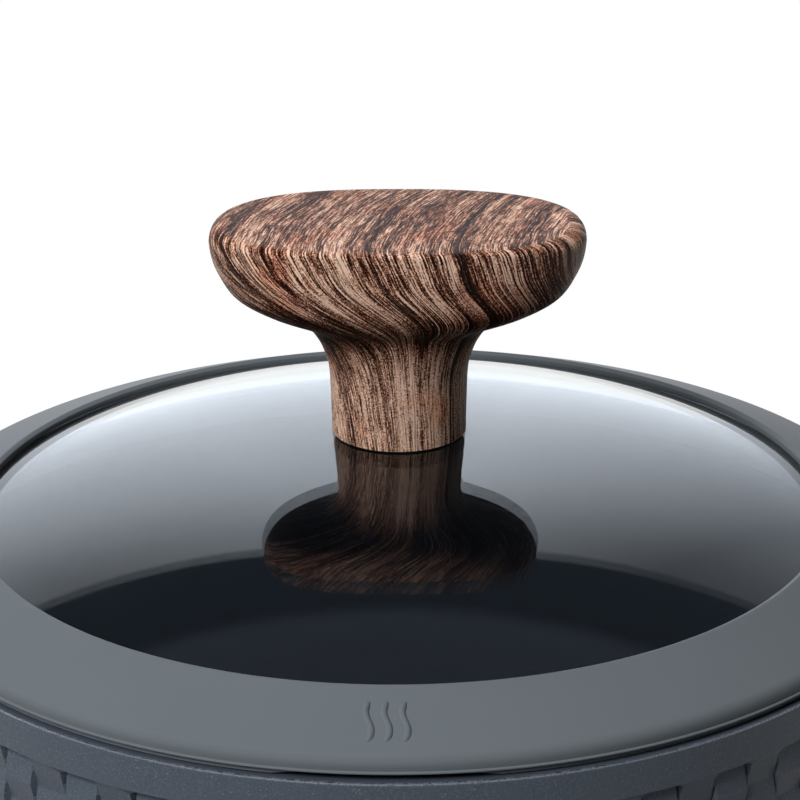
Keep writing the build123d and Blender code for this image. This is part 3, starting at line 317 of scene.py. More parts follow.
# Turned aluminium: pale metal in fine rings round the axis, which catch the light across them. The cutter's
# marks are drawn at several times their real pitch, so that they show.
turned, tree, shader = new_material("turned_aluminium", "#A6A8AA", 0.34, Metallic=1.0)
place = add(tree, "TexCoord").outputs["Object"]
flat = add(tree, "VectorMath", {0: place, 1: (1.0, 1.0, 0.0)}, operation="MULTIPLY").outputs[0]
radius = add(tree, "VectorMath", {0: flat}, operation="LENGTH").outputs["Value"]
rings = {"W": radius, "Scale": 1 / (TURNED_PITCH * MM), "Detail": 3.0}
rings = add(tree, "TexNoise", rings, noise_dimensions="1D").outputs["Fac"]
relief = add(tree, "Bump", {"Height": rings, "Strength": 0.8, "Distance": 0.12 * MM})
tree.links.new(relief.outputs[0], shader.inputs["Normal"])
dress(turned, "heating_plate", "sensor_cap")

# ------------------------------------------------------------------ sensor spring
# Stainless spring wire wound into an open coil. It stands in its holder under the sensor cap, and it gets
# shorter as the pot presses the cap down.
WIRE_R = 0.55
SPRING_TURNS = 3.5
STEPS_A_TURN = 20


def wire_piece(name, radius, points):
    """A round wire as a mesh, through points in millimetres, each with its share of the radius."""
    line = bpy.data.curves.new(name, "CURVE")
    line.dimensions = "3D"
    line.bevel_depth = radius * MM
    line.bevel_resolution = 3
    line.use_fill_caps = True
    run = line.splines.new("POLY")
    run.points.add(len(points) - 1)
    for point, (x, y, z, share) in zip(run.points, points):
        point.co = (x * MM, y * MM, z * MM, 1)
        point.radius = share
    made = new_object(name, line)
    bpy.ops.object.convert(target="MESH")
    bpy.ops.object.shade_smooth()
    return made


low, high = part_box("sensor_spring")
coil_r = (high.x - low.x) / 2 / MM - WIRE_R
coil_low, coil_high = low.z / MM + WIRE_R, high.z / MM - WIRE_R
steps = int(SPRING_TURNS * STEPS_A_TURN)
coil = []
for i in range(steps + 1):
    turn = 2 * pi * i / STEPS_A_TURN
    coil.append((coil_r * cos(turn), coil_r * sin(turn), coil_low + (coil_high - coil_low) * i / steps, 1.0))
spring = wire_piece("spring_coil", WIRE_R, coil)

# Drawn stainless wire: bright metal with a warm cast and short, duller patches.
wire, tree, shader = new_material("stainless_spring_wire", "#B4B2AE", 0.25, Metallic=1.0)
mottle(tree, shader, "Roughness", 0.18, 0.36, size=0.667)
spring.data.materials.append(wire)
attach(spring, "base")
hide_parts("sensor_spring")
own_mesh(spring)

# ------------------------------------------------------------------ switch, lamp, lens, leads and pins
# A rotary switch with a brass shaft and an indicator lamp sit behind the fascia. Sleeved leads join them to
# the inlet's pins and to the element.
BRAID_PITCH = 0.714

# Urea moulding, as switch bodies have: bone white with a low gloss and a faint mottle.
urea, tree, shader = new_material("pale_urea_moulding", "#CFCBC0", 0.5)
mottle(tree, shader, "Base Color", "#C6C1B5", "#D8D5CC", size=2.0)
dress(urea, "rotary_switch", "indicator_lamp")

# Tinted acrylic: glossy amber that light passes into, deeper in some places.
lens, tree, shader = new_material("amber_acrylic", "#E8842A", 0.12, IOR=1.49, Transmission_Weight=0.55)
mottle(tree, shader, "Base Color", "#DE7520", "#F09638", size=2.5)
dress(lens, "indicator_lens")

# Woven glass-fibre sleeve: dull cream strands with darker gaps between them.
sleeve, tree, shader = new_material("woven_glass_sleeve", "#C9C3B4", 0.75)
place = add(tree, "TexCoord").outputs["Object"]
braid = add(tree, "TexVoronoi", {"Vector": place, "Scale": 1 / (BRAID_PITCH * MM)}).outputs["Distance"]
tone = add(tree, "Mix", {0: braid, 6: "#D6D1C4", 7: "#948D7E"}, data_type="RGBA")
tree.links.new(tone.outputs[2], shader.inputs["Base Color"])
dress(sleeve, "lead_live", "lead_neutral", "lead_switched")

# Machined brass: yellow metal, bright where it is clean and duller where it has tarnished.
brass, tree, shader = new_material("machined_brass", "#C9A052", 0.28, Metallic=1.0)
mottle(tree, shader, "Roughness", 0.2, 0.4, size=2.86)
dress(brass, "inlet_pins", "switch_shaft", "knob_insert")

# ------------------------------------------------------------------ control fascia and its printing
# A polished black strip let into the pod. Pad printing beside the knob shows its two settings: a small dot, a
# wedge that grows round the knob, and a large dot.
PRINT_R = 12.8
PRINT_T = 0.04
LOW_TURN, HIGH_TURN = 60, 120
LOW_DOT_R, HIGH_DOT_R = 0.45, 1.0
WEDGE_FROM, WEDGE_TO = 66, 112
WEDGE_THIN, WEDGE_THICK = 0.3, 1.3
WEDGE_STEPS = 24

# Polished ABS: near black, a mirror with a slight haze from handling.
fascia, tree, shader = new_material("polished_black_abs", "#101113", 0.12)
mottle(tree, shader, "Roughness", 0.08, 0.17, size=8.33)
dress(fascia, "control_fascia")

# Pad-printing ink: a thin pale grey film, a little uneven where the pad pressed it on.
ink, tree, shader = new_material("pad_printing_ink", "#C4C8CB", 0.5)
mottle(tree, shader, "Base Color", "#B9BDC1", "#D2D5D7", size=0.333, detail=1.0)
strip_low, strip_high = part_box("control_fascia")
dial_z = (strip_low.z + strip_high.z) / 2


def on_strip(radius, turn):
    """A point of the strip's face at a radius and a clockwise angle from the top, about the knob's axis."""
    return Vector((radius * sin(radians(turn)) * MM, strip_low.y, dial_z + radius * cos(radians(turn)) * MM))


marks = []
for name, turn, radius in (("print_low", LOW_TURN, LOW_DOT_R), ("print_high", HIGH_TURN, HIGH_DOT_R)):
    bpy.ops.object.select_all(action="DESELECT")
    bpy.ops.mesh.primitive_circle_add(
        vertices=32, radius=radius * MM, fill_type="NGON",
        location=on_strip(PRINT_R, turn), rotation=(pi / 2, 0, 0),
    )
    bpy.context.object.name = name
    bpy.ops.object.transform_apply(location=True, rotation=True, scale=True)
    marks.append(bpy.context.object)
outer, inner = [], []
for i in range(WEDGE_STEPS + 1):
    share = i / WEDGE_STEPS
    turn = WEDGE_FROM + (WEDGE_TO - WEDGE_FROM) * share
    half = (WEDGE_THIN + (WEDGE_THICK - WEDGE_THIN) * share) / 2
    outer.append(on_strip(PRINT_R + half, turn))
    inner.append(on_strip(PRINT_R - half, turn))
mesh = bpy.data.meshes.new("print_wedge")
faces = [(i, i + 1, i + WEDGE_STEPS + 2, i + WEDGE_STEPS + 1) for i in range(WEDGE_STEPS)]
mesh.from_pydata(outer + inner, [], faces)
marks.append(new_object("print_wedge", mesh))
for mark in marks:
    pick(mark)
    film = mark.modifiers.new("film", "SOLIDIFY")
    film.thickness = PRINT_T * MM
    film.offset = 1 if mark.data.polygons[0].normal.y < 0 else -1
    bpy.ops.object.modifier_apply(modifier="film")
    bpy.ops.object.mode_set(mode="EDIT")
    bpy.ops.mesh.select_all(action="SELECT")
    bpy.ops.mesh.normals_make_consistent(inside=False)
    bpy.ops.object.mode_set(mode="OBJECT")
    mark.data.materials.append(ink)
    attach(mark, "base")

# ------------------------------------------------------------------ control knob
# A moulded knob pushed on to the switch's shaft, with a grip across its face. The pale line printed on the
# grip points at the setting.
POINTER_HALF_W = 0.45
POINTER_FROM, POINTER_TO = 2.0, 7.4
POINTER_DEEP = 0.3

grip_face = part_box("control_knob")[0].y
line_middle = dial_z + (POINTER_FROM + POINTER_TO) / 2 * MM
line_half = (POINTER_TO - POINTER_FROM) / 2 * MM

# Satin ABS: dark grey with a soft, even sheen from its fine grain. The line is pad-printing ink.
satin, tree, shader = new_material("satin_abs", "#33373B", 0.4)
raise_grain(tree, shader, size=0.385, depth=0.03, strength=0.2, detail=1.0)
place = add(tree, "SeparateXYZ", {0: add(tree, "TexCoord").outputs["Object"]}).outputs
pointer = 1.0
for axis, middle, half in (
    ("X", 0.0, POINTER_HALF_W * MM), ("Y", grip_face, POINTER_DEEP * MM), ("Z", line_middle, line_half),
):
    within = add(tree, "Math", {0: place[axis], 1: middle, 2: half}, operation="COMPARE").outputs[0]
    pointer = add(tree, "Math", {0: within, 1: pointer}, operation="MULTIPLY").outputs[0]
tone = add(tree, "Mix", {0: pointer, 6: "#33373B", 7: "#C4C8CB"}, data_type="RGBA")
tree.links.new(tone.outputs[2], shader.inputs["Base Color"])
dress(satin, "control_knob")

# ------------------------------------------------------------------ pot
# Cast aluminium, coated inside and out. Below its plain rim band the wall is cut into upright columns, each a
# zigzag of sloping facets half a step out from its neighbours, with a narrow groove between them.
POT_R = 100.0
POT_WALL = 3.2
POT_FLOOR = 3.5
POT_CORNER = 22.0
RIM_PROUD = 0.9
RIM_BAND = 6.9
RIM_EDGE = 0.5
COLUMNS = 84
FACETS_HIGH = 12
FACET_SWING = 0.55
GROOVE_DEPTH = 0.6
GROOVE_HALF_W = 0.42
ARC_STEPS, EDGE_STEPS = 10, 3
NEAR = 0.01
SAND_GRIT = 0.33
SPRAY_CLOUD = 11.1
BARE_FROM, BARE_TO = 0.32, 0.14
WORN_FROM, WORN_TO = 0.38, 0.52
COAT_ROUGHNESS, BARE_ROUGHNESS = 0.45, 0.28
# Where the painted shade on the inner floor fades out: it starts above the floor and is gone above the corner.
SHADE_FADES_ABOVE_FLOOR, SHADE_GONE_ABOVE_CORNER = 1.0, 8.0


def turned_piece(name, outline, steps):
    """A closed outline in the XZ plane, in millimetres, spun once round Z. Its normals point outwards."""
    mesh = bpy.data.meshes.new(name)
    count = len(outline)
    edges = [(i, (i + 1) % count) for i in range(count)]
    mesh.from_pydata([(x * MM, 0, z * MM) for x, z in outline], edges, [])
    piece = new_object(name, mesh)
    bpy.ops.object.mode_set(mode="EDIT")
    bpy.ops.mesh.select_all(action="SELECT")
    bpy.ops.mesh.spin(steps=steps, angle=2 * pi, center=(0, 0, 0), axis=(0, 0, 1))
    bpy.ops.mesh.select_all(action="SELECT")
    bpy.ops.mesh.remove_doubles(threshold=0.002 * MM)
    bpy.ops.mesh.normals_make_consistent(inside=False)
    bpy.ops.object.mode_set(mode="OBJECT")
    return piece


def arc(centre, radius, start, end, steps):
    """Points of an arc in the XZ plane, from one angle to another."""
    angles = [radians(start + (end - start) / steps * i) for i in range(steps + 1)]
    return [(centre[0] + radius * cos(a), centre[1] + radius * sin(a)) for a in angles]


pot_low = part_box("pot_shell")[0].z / MM
rim_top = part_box("pot_shell")[1].z / MM
facets_low = pot_low + POT_CORNER
facets_high = rim_top - RIM_BAND - RIM_PROUD
half_facet = (facets_high - facets_low) / (2 * FACETS_HIGH)
bore_r = POT_R - POT_WALL
corner_in = POT_CORNER - POT_WALL
band_r = POT_R + RIM_PROUD
pot = turned_piece("pot_wall", [
    (0, pot_low),
    *arc((POT_R - POT_CORNER, pot_low + POT_CORNER), POT_CORNER, -90, 0, ARC_STEPS),
    *[(POT_R, facets_low + half_facet * i) for i in range(1, 2 * FACETS_HIGH + 1)],
    (band_r, rim_top - RIM_BAND),
    *arc((band_r - RIM_EDGE, rim_top - RIM_EDGE), RIM_EDGE, 0, 90, EDGE_STEPS),
    *arc((bore_r + RIM_EDGE, rim_top - RIM_EDGE), RIM_EDGE, 90, 180, EDGE_STEPS),
    *arc((bore_r - corner_in, pot_low + POT_FLOOR + corner_in), corner_in, 0, -90, ARC_STEPS),
    (0, pot_low + POT_FLOOR),
], 3 * COLUMNS)

# Each column has three points across: one in the groove, which moves in, and two at the facets' edges, which
# move to the groove's sides and swing out and in up the wall.
column_angle = 2 * pi / COLUMNS
groove_angle = GROOVE_HALF_W / POT_R
shape = bmesh.new()
shape.from_mesh(pot.data)
for vertex in shape.verts:
    reach = hypot(vertex.co.x, vertex.co.y) / MM
    level = (vertex.co.z / MM - facets_low) / half_facet
    if abs(reach - POT_R) > NEAR or level < -NEAR:
        continue
    angle = Vector((vertex.co.x, vertex.co.y)).angle_signed(Vector((1, 0)))
    column, edge = divmod(round(angle / column_angle * 3) % (3 * COLUMNS), 3)
    zigzag = (1, 0, -1, 0)[round(level) % 4] * (-1) ** column
    if edge:
        turn = (1, -1)[edge - 1] * (groove_angle - column_angle / 3)
        vertex.co.rotate(Matrix.Rotation(turn, 3, "Z"))
        growth = 1 + zigzag * FACET_SWING / POT_R
    else:
        growth = 1 - GROOVE_DEPTH / POT_R
    vertex.co.x *= growth
    vertex.co.y *= growth
shape.to_mesh(pot.data)
shape.free()
bpy.ops.object.shade_smooth_by_angle(angle=radians(9))

# Sprayed non-stick coating with grit in it: matt blue-grey, sandy with dark and pale specks. On the rim's
# sharp edge it has worn through to bright metal.
coated, tree, shader = new_material(
    "sandy_nonstick_coating", "#4A525C", COAT_ROUGHNESS, Specular_IOR_Level=0.25
)
place = add(tree, "TexCoord").outputs["Object"]
grit = {"Vector": place, "Scale": 1 / (SAND_GRIT * MM), "Detail": 2.0, "Roughness": 0.6}
grit = add(tree, "TexNoise", grit).outputs["Fac"]
spray = add(tree, "TexNoise", {"Vector": place, "Scale": 1 / (SPRAY_CLOUD * MM), "Detail": 2.0}).outputs["Fac"]
speck = add(tree, "ValToRGB", {0: grit}, stops=(
    (0.30, "#3A414A"),
    (0.50, "#48505A"),
    (0.64, "#565F69"),
    (0.74, "#8C95A0"),
)).outputs[0]
tone = add(tree, "Mix", {0: spray, 6: speck, 7: "#4A525C"}, data_type="RGBA").outputs[2]
height = add(tree, "SeparateXYZ", {0: place}).outputs["Z"]
corner = {0: height, 1: (rim_top - BARE_FROM) * MM, 2: (rim_top - BARE_TO) * MM}
corner = add(tree, "MapRange", corner).outputs[0]
broken = add(tree, "MapRange", {0: grit, 1: WORN_FROM, 2: WORN_TO}).outputs[0]
bare = add(tree, "Math", {0: corner, 1: broken}, operation="MULTIPLY").outputs[0]
tone = add(tree, "Mix", {0: bare, 6: tone, 7: "#B4B8BD"}, data_type="RGBA").outputs[2]
polish = add(tree, "MapRange", {0: bare, 3: COAT_ROUGHNESS, 4: BARE_ROUGHNESS}).outputs[0]
relief = add(tree, "Bump", {"Height": grit, "Strength": 0.5, "Distance": 0.06 * MM}).outputs[0]
for socket, output in (("Base Color", tone), ("Metallic", bare), ("Roughness", polish), ("Normal", relief)):
    tree.links.new(output, shader.inputs[socket])

# Smooth non-stick coating: dark slate with hardly any gloss and a faint orange peel. It is darkest on the
# floor and paler up the wall. This is painted shade, which evens out the stronger light that falls on the
# floor.
inside, tree, shader = new_material("black_nonstick_coating", "#363B45", 0.5, Specular_IOR_Level=0.05)
raise_grain(tree, shader, size=1.43, depth=0.05, strength=0.25)
height = add(tree, "SeparateXYZ", {0: add(tree, "TexCoord").outputs["Object"]}).outputs["Z"]
shade_fade_from, shade_gone_at = pot_low + POT_FLOOR + SHADE_FADES_ABOVE_FLOOR, pot_low + POT_CORNER + SHADE_GONE_ABOVE_CORNER
past_floor_shade = {0: height, 1: shade_fade_from * MM, 2: shade_gone_at * MM}
past_floor_shade = add(tree, "MapRange", past_floor_shade, interpolation_type="SMOOTHSTEP").outputs[0]
tone = add(tree, "Mix", {0: past_floor_shade, 6: "#2A2E35", 7: "#3F4550"}, data_type="RGBA").outputs[2]
tree.links.new(tone, shader.inputs["Base Color"])
pot.data.materials.append(coated)
pot.data.materials.append(inside)
# The rim's flat top takes the dark inner coating too. This is painted shade for the gap under the ring's
# skirt.
for face in pot.data.polygons:
    reach, height = hypot(face.center.x, face.center.y) / MM, face.center.z / MM
    in_bore = reach < bore_r + RIM_EDGE and height > pot_low + POT_FLOOR / 2
    face.material_index = 1 if in_bore or height > rim_top - NEAR else 0
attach(pot, "pot")
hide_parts("pot_shell")

# ------------------------------------------------------------------ lid glass
# Sheet glass pressed to a shallow dome, with a hole for the knob's screw in its middle, and then tempered.
# The silicone ring grips its edge.
GLASS_T = 4.0
GLASS_CROWN = 23.0
GLASS_HOLE_R = 4.0
GLASS_EDGE_R = 87.0
RING_R = 100.0
RING_CREST_R = 83.6
RING_CREST_H = 8.7
LIP_PROUD = 2.0
DOME_SEGMENTS, DOME_RINGS = 240, 720

seat = ring_seat.z / MM
glass_rise = GLASS_CROWN - (RING_CREST_H - LIP_PROUD)
dome_r = (RING_CREST_R**2 + glass_rise**2) / (2 * glass_rise)
dome_centre = seat + GLASS_CROWN - dome_r


def dome_z(radius, inward=0.0):
    """Height of the glass's top face at a radius, or of a face that lies inward of it, in millimetres."""
    return dome_centre + sqrt((dome_r - inward) ** 2 - radius**2)


bpy.ops.object.select_all(action="DESELECT")
bpy.ops.mesh.primitive_uv_sphere_add(
    segments=DOME_SEGMENTS, ring_count=DOME_RINGS, radius=dome_r * MM, location=(0, 0, dome_centre * MM)
)
glass = bpy.context.object
glass.name = "glass_dome"
bpy.ops.object.transform_apply(location=True, rotation=True, scale=True)
bpy.ops.object.mode_set(mode="EDIT")
bpy.ops.mesh.select_all(action="SELECT")
bpy.ops.mesh.bisect(plane_co=(0, 0, dome_z(GLASS_EDGE_R) * MM), plane_no=(0, 0, 1), clear_inner=True)
bpy.ops.mesh.select_all(action="SELECT")
bpy.ops.mesh.bisect(plane_co=(0, 0, dome_z(GLASS_HOLE_R) * MM), plane_no=(0, 0, 1), clear_outer=True)
bpy.ops.object.mode_set(mode="OBJECT")
wall = glass.modifiers.new("wall", "SOLIDIFY")
wall.thickness = GLASS_T * MM
wall.offset = -1
bpy.ops.object.modifier_apply(modifier="wall")
bpy.ops.object.shade_smooth_by_angle(angle=radians(30))

# Tempered soda-lime glass: clear, with sharp mirror images, and a faint grey-blue cast that drifts across it.
tempered, tree, shader = new_material("tempered_glass", "#E6ECEE", 0.0, IOR=1.52, Transmission_Weight=1.0)
mottle(tree, shader, "Base Color", "#E2E9EC", "#EAF0F1", size=83.3)
glass.data.materials.append(tempered)
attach(glass, "lid")
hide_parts("lid_glass")

# ------------------------------------------------------------------ lid ring
# One silicone moulding, pressed on to the glass: a sloping face with softly rounded edges, a lip over the
# glass, a skirt on the pot's rim and a plug inside it, cut away at the front where steam leaves.
RING_EDGE = 1.0
EDGE_BREAK = 0.12
LEDGE_H, LEDGE_W = 0.45, 0.40
LEDGE_BREAK, LEDGE_RISE = 0.15, 0.05
RING_ROUND = 2.4
ROUND_FROM, ROUND_TO, ROUND_STEPS = 10, 68, 7
CREST_ROUND = 0.7
CREST_CURVE = ((1.0, 0.38), (0.45, 0.14), (0.0, 0.06), (-0.6, 0.25))  # out and down, as shares of the rounding
LIP_IN = 1.0
LIP_FALL = 0.5
LIP_BREAK_W, LIP_BREAK_H = 0.12, 0.35
SKIRT_IN = 0.6
SKIRT_H = 0.9
UNDER_LIP = 3.0
PLUG_R = 95.6
PLUG_T = 4.0
PLUG_TAPER, PLUG_TAPER_H = 1.2, 2.4
GLASS_PLAY = 0.05
RING_STEPS = 288
OUTLET_W = 24.0
OUTLET_FLARE = 1.6
OUTLET_PAST = 1.0
SKIRT_ARCH = ((-1, 0), (2, -0.2), (5, -0.5), (8, -SKIRT_H - 0.1))  # beyond the outlet's side, and height
CUTTER_PAST = 5.0
ARCH_INTO_PLUG = 0.6

lip_r = RING_CREST_R - LIP_IN
under_r = GLASS_EDGE_R - UNDER_LIP
groove_r = GLASS_EDGE_R + GLASS_PLAY
plug_in_r = PLUG_R - PLUG_T
crest = seat + RING_CREST_H
edge_r = RING_R - LEDGE_W
ring = turned_piece("ring_moulding", [
    (RING_R - EDGE_BREAK, seat),
    (RING_R, seat + EDGE_BREAK),
    (RING_R, seat + LEDGE_H - LEDGE_BREAK),
    (RING_R - LEDGE_BREAK, seat + LEDGE_H),
    (edge_r, seat + LEDGE_H + LEDGE_RISE),
    (edge_r, seat + RING_EDGE),
    *arc((edge_r - RING_ROUND, seat + RING_EDGE), RING_ROUND, ROUND_FROM, ROUND_TO, ROUND_STEPS),
    *[(RING_CREST_R + CREST_ROUND * out, crest - CREST_ROUND * down) for out, down in CREST_CURVE],
    (lip_r + LIP_BREAK_W, crest - LIP_FALL),
    (lip_r, crest - LIP_FALL - LIP_BREAK_H),
    (lip_r, dome_z(lip_r, -GLASS_PLAY)),
    (groove_r, dome_z(groove_r, -GLASS_PLAY)),
    (groove_r, dome_z(groove_r, GLASS_T + GLASS_PLAY)),
    (under_r, dome_z(under_r, GLASS_T + GLASS_PLAY)),
    (under_r, seat - SKIRT_H),
    (plug_in_r, seat - SKIRT_H),
    (plug_in_r, seat - PLUG_DEPTH),
    (PLUG_R - PLUG_TAPER, seat - PLUG_DEPTH),
    (PLUG_R, seat - PLUG_DEPTH + PLUG_TAPER_H),
    (PLUG_R, seat - SKIRT_H),
    (RING_R - SKIRT_IN, seat - SKIRT_H),
    (RING_R - SKIRT_IN, seat),
], RING_STEPS)

# The outlet: a notch through the plug, and a low arch under the skirt in front of it.
half_outlet = OUTLET_W / 2
through_plug = [(half_outlet, 0), (half_outlet + OUTLET_FLARE, -PLUG_DEPTH - OUTLET_PAST)]
under_skirt = [(half_outlet + beyond, rise) for beyond, rise in SKIRT_ARCH]
from_y = -RING_R - CUTTER_PAST
for half_section, to_y in ((through_plug, -plug_in_r + CUTTER_PAST), (under_skirt, -PLUG_R + ARCH_INTO_PLUG)):
    section = half_section + [(-x, z) for x, z in reversed(half_section)]
    corners = [(x * MM, from_y * MM, (seat + z) * MM) for x, z in section]
    mesh = bpy.data.meshes.new("outlet")
    mesh.from_pydata(corners, [], [tuple(range(len(section)))])
    outlet = new_object("outlet", mesh)
    bpy.ops.object.mode_set(mode="EDIT")
    bpy.ops.mesh.select_all(action="SELECT")
    bpy.ops.mesh.extrude_region_move(TRANSFORM_OT_translate={"value": (0, (to_y - from_y) * MM, 0)})
    bpy.ops.mesh.select_all(action="SELECT")
    bpy.ops.mesh.normals_make_consistent(inside=False)
    bpy.ops.object.mode_set(mode="OBJECT")
    cut = ring.modifiers.new("outlet", "BOOLEAN")
    cut.operation = "DIFFERENCE"
    cut.object = outlet
    cut.solver = "EXACT"
    pick(ring)
    bpy.ops.object.modifier_apply(modifier="outlet")
    bpy.data.objects.remove(outlet)
bpy.ops.object.shade_smooth_by_angle(angle=radians(25))

# Silicone from a satin mould: even mid grey with a weak, broad sheen, a faint bloom and a fine grain. The
# grain is drawn coarser than real, so that it shows.
silicone, tree, shader = new_material("satin_silicone", "#60666B", 0.42, Specular_IOR_Level=0.10)
mottle(tree, shader, "Base Color", "#5E6469", "#63696D", size=22.2, detail=3.0)
raise_grain(tree, shader, size=0.455, depth=0.04, strength=0.15)
ring.data.materials.append(silicone)
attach(ring, "lid")
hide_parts("lid_ring")

# ------------------------------------------------------------------ steam mark
# Three raised wavy lines moulded with the ring's face above the steam outlet, to show where steam comes out.
# They are thinner towards their ends.
MARK_R = 91.4
WAVE_LENGTH = 8.4
WAVE_SWING = 0.55
WAVE_PITCH = 3.1
WAVE_LINE_R = 0.75
WAVE_RISE = 0.55
WAVE_END, WAVE_SWELL = 0.55, 4
WAVE_STEPS = 20

slope = (RING_CREST_H - RING_EDGE - RING_ROUND) / (edge_r - RING_ROUND - RING_CREST_R)
for i, offset in enumerate((-WAVE_PITCH, 0, WAVE_PITCH)):
    wave = []
    for k in range(WAVE_STEPS + 1):
        share = k / WAVE_STEPS
        x = offset + WAVE_SWING * sin(2 * pi * share)
        y = -(MARK_R - (share - 0.5) * WAVE_LENGTH)
        z = seat + RING_CREST_H - (hypot(x, y) - RING_CREST_R) * slope - WAVE_LINE_R + WAVE_RISE
        wave.append((x, y, z, min(1.0, WAVE_END + WAVE_SWELL * min(share, 1 - share))))
    mark = wire_piece(f"steam_line_{i + 1}", WAVE_LINE_R, wave)
    mark.data.materials.append(silicone)
    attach(mark, "lid")

# ------------------------------------------------------------------ lid knob, its washers, and ear handles
# Moulded phenolic dipped in a wood-print film. The film lies flat on the top, folds over its edge and is drawn
# down to the neck, so its grain runs over the rim and gathers there. A screw from below holds the knob, with
# rubber on both faces of the glass.
KNOB_ROWS = (  # height, half length, half depth and squareness, of which 2 is an oval
    (-0.45, 13.0, 13.0, 2.0),
    (6.5, 13.15, 13.1, 2.0),
    (13.0, 13.5, 13.4, 2.0),
    (16.5, 14.5, 13.9, 2.0),
    (19.0, 15.7, 14.4, 2.0),
    (21.6, 17.8, 15.1, 2.05),
    (23.0, 20.5, 16.0, 2.1),
    (25.0, 26.2, 17.9, 2.2),
    (28.0, 31.3, 19.5, 2.35),
    (32.0, 34.1, 20.5, 2.4),
    (36.0, 35.6, 21.0, 2.4),
    (41.6, 35.95, 21.1, 2.4),
)
KNOB_H = 41.6
KNOB_SEAM = 0.4
FOOT_DIP, FOOT_SHARE = 0.45, 0.96
RIM_FRONT, RIM_END, RIM_EASE = 0.8, 3.2, 2.5
KNOB_COLUMNS = 144
KNOB_SIDE_ROWS = 72
KNOB_RIM_ROWS = 6
KNOB_TOP_ROWS = 16
FILM_SPAN = 100.0
GRAIN_LEAN = 0.28
GRAIN_CURVE = 0.006
GRAIN_DRIFT, DRIFT_REACH = 0.30, 40.0
GATHERED, GATHERED_AT, GATHER_EASE = 0.7, 16.0, 1.5
SHOULDER_SWING, SHOULDER_FROM, SHOULDER_DROP = 11.0, 6.0, 18.0
HEAD_HALF_DEPTH = 21.0


def knob_row(height):
    """Half length, half depth and squareness at a height, on a smooth curve through the rows."""
    i = max(1, min(len(KNOB_ROWS) - 2, sum(row[0] <= height for row in KNOB_ROWS)))
    low, high = KNOB_ROWS[i - 1], KNOB_ROWS[i]
    before = KNOB_ROWS[max(i - 2, 0)]
    after = KNOB_ROWS[i + 1]
    if height > high[0]:
        before, low, high = low, high, after
    t = (height - low[0]) / (high[0] - low[0])
    found = []
    for k in (1, 2, 3):
        rise = high[0] - low[0]
        leave = (high[k] - before[k]) / (high[0] - before[0]) * rise if low is not before else 0.0
        arrive = (after[k] - low[k]) / (after[0] - low[0]) * rise if high is not after else 0.0
        found.append(
            (2 * t**3 - 3 * t**2 + 1) * low[k] + (t**3 - 2 * t**2 + t) * leave
            + (3 * t**2 - 2 * t**3) * high[k] + (t**3 - t**2) * arrive
        )
    return found


def on_oval(half_length, half_depth, squareness, turn):
    """Point of a squared oval at an angle, which starts at the front and runs to +X."""
    c, s = sin(turn), -cos(turn)
    power = 2 / squareness
    return (
        half_length * abs(c) ** power * (1 if c > 0 else -1),
        half_depth * abs(s) ** power * (1 if s > 0 else -1),
    )


# The top's edge, the way round it from the front, and how far round to the side each of its points lies.
knob_low = seat + GLASS_CROWN + KNOB_SEAM
turns = [2 * pi * j / KNOB_COLUMNS for j in range(KNOB_COLUMNS)]
rounds = [RIM_FRONT + (RIM_END - RIM_FRONT) * abs(sin(turn)) ** RIM_EASE for turn in turns]
rim = []
for turn, rounding in zip(turns, rounds):
    x, y = on_oval(*knob_row(KNOB_H - rounding), turn)
    rim.append((x * (1 - rounding / hypot(x, y)), y * (1 - rounding / hypot(x, y))))
around = [0.0]
for (x, y), (next_x, next_y) in zip(rim, rim[1:] + rim[:1]):
    around.append(around[-1] + hypot(next_x - x, next_y - y))
quarter = around[-1] / 4
sideways = [
    a if a <= quarter else 2 * quarter - a if a <= 3 * quarter else a - 4 * quarter for a in around[:-1]
]


def on_top(x, y):
    """Where a point of the flat top lies on the film: across the grain and along it."""
    return x - GRAIN_LEAN * y - GRAIN_CURVE * y * y, y + GRAIN_LEAN * x


def on_side(j, drop):
    """Where a point below the top's edge lies on the film, a given way down one of the columns."""
    across, along = on_top(*rim[j])
    gather = GATHERED * min(1.0, drop / GATHERED_AT) ** GATHER_EASE
    drift = GRAIN_DRIFT * drop * (1 - rim[j][0] / DRIFT_REACH)
    across = across * (1 - gather) + sideways[j] * gather - drift
    past = min(1.0, max(0.0, (drop - SHOULDER_FROM) / SHOULDER_DROP))
    return across - SHOULDER_SWING * past**2 * (3 - 2 * past), along + drop * rim[j][1] / HEAD_HALF_DEPTH


# Rows of points from the foot to the top, each with its place on the film.
foot = [on_oval(*knob_row(0.0), turn) for turn in turns]
knob_rows = [[((x * FOOT_SHARE, y * FOOT_SHARE, 0.0), on_side(j, KNOB_H)) for j, (x, y) in enumerate(foot)]]
for i in range(KNOB_SIDE_ROWS + 1):
    row = []
    for j, (turn, rounding) in enumerate(zip(turns, rounds)):
        height = (KNOB_H - rounding + FOOT_DIP) * i / KNOB_SIDE_ROWS - FOOT_DIP
        drop = KNOB_H - rounding - height + rounding * pi / 2
        row.append(((*on_oval(*knob_row(height), turn), height), on_side(j, drop)))
    knob_rows.append(row)
for i in range(1, KNOB_RIM_ROWS + 1):
    tilt = pi / 2 * i / KNOB_RIM_ROWS
    row = []
    for j, rounding in enumerate(rounds):
        edge_x, edge_y, edge_z = knob_rows[KNOB_SIDE_ROWS + 1][j][0]
        inward = 1 - rounding * (1 - cos(tilt)) / hypot(edge_x, edge_y)
        place = (edge_x * inward, edge_y * inward, edge_z + rounding * sin(tilt))
        row.append((place, on_side(j, rounding * (pi / 2 - tilt))))
    knob_rows.append(row)
for i in range(1, KNOB_TOP_ROWS):
    share = 1 - i / KNOB_TOP_ROWS
    knob_rows.append([((x * share, y * share, KNOB_H), on_top(x * share, y * share)) for x, y in rim])

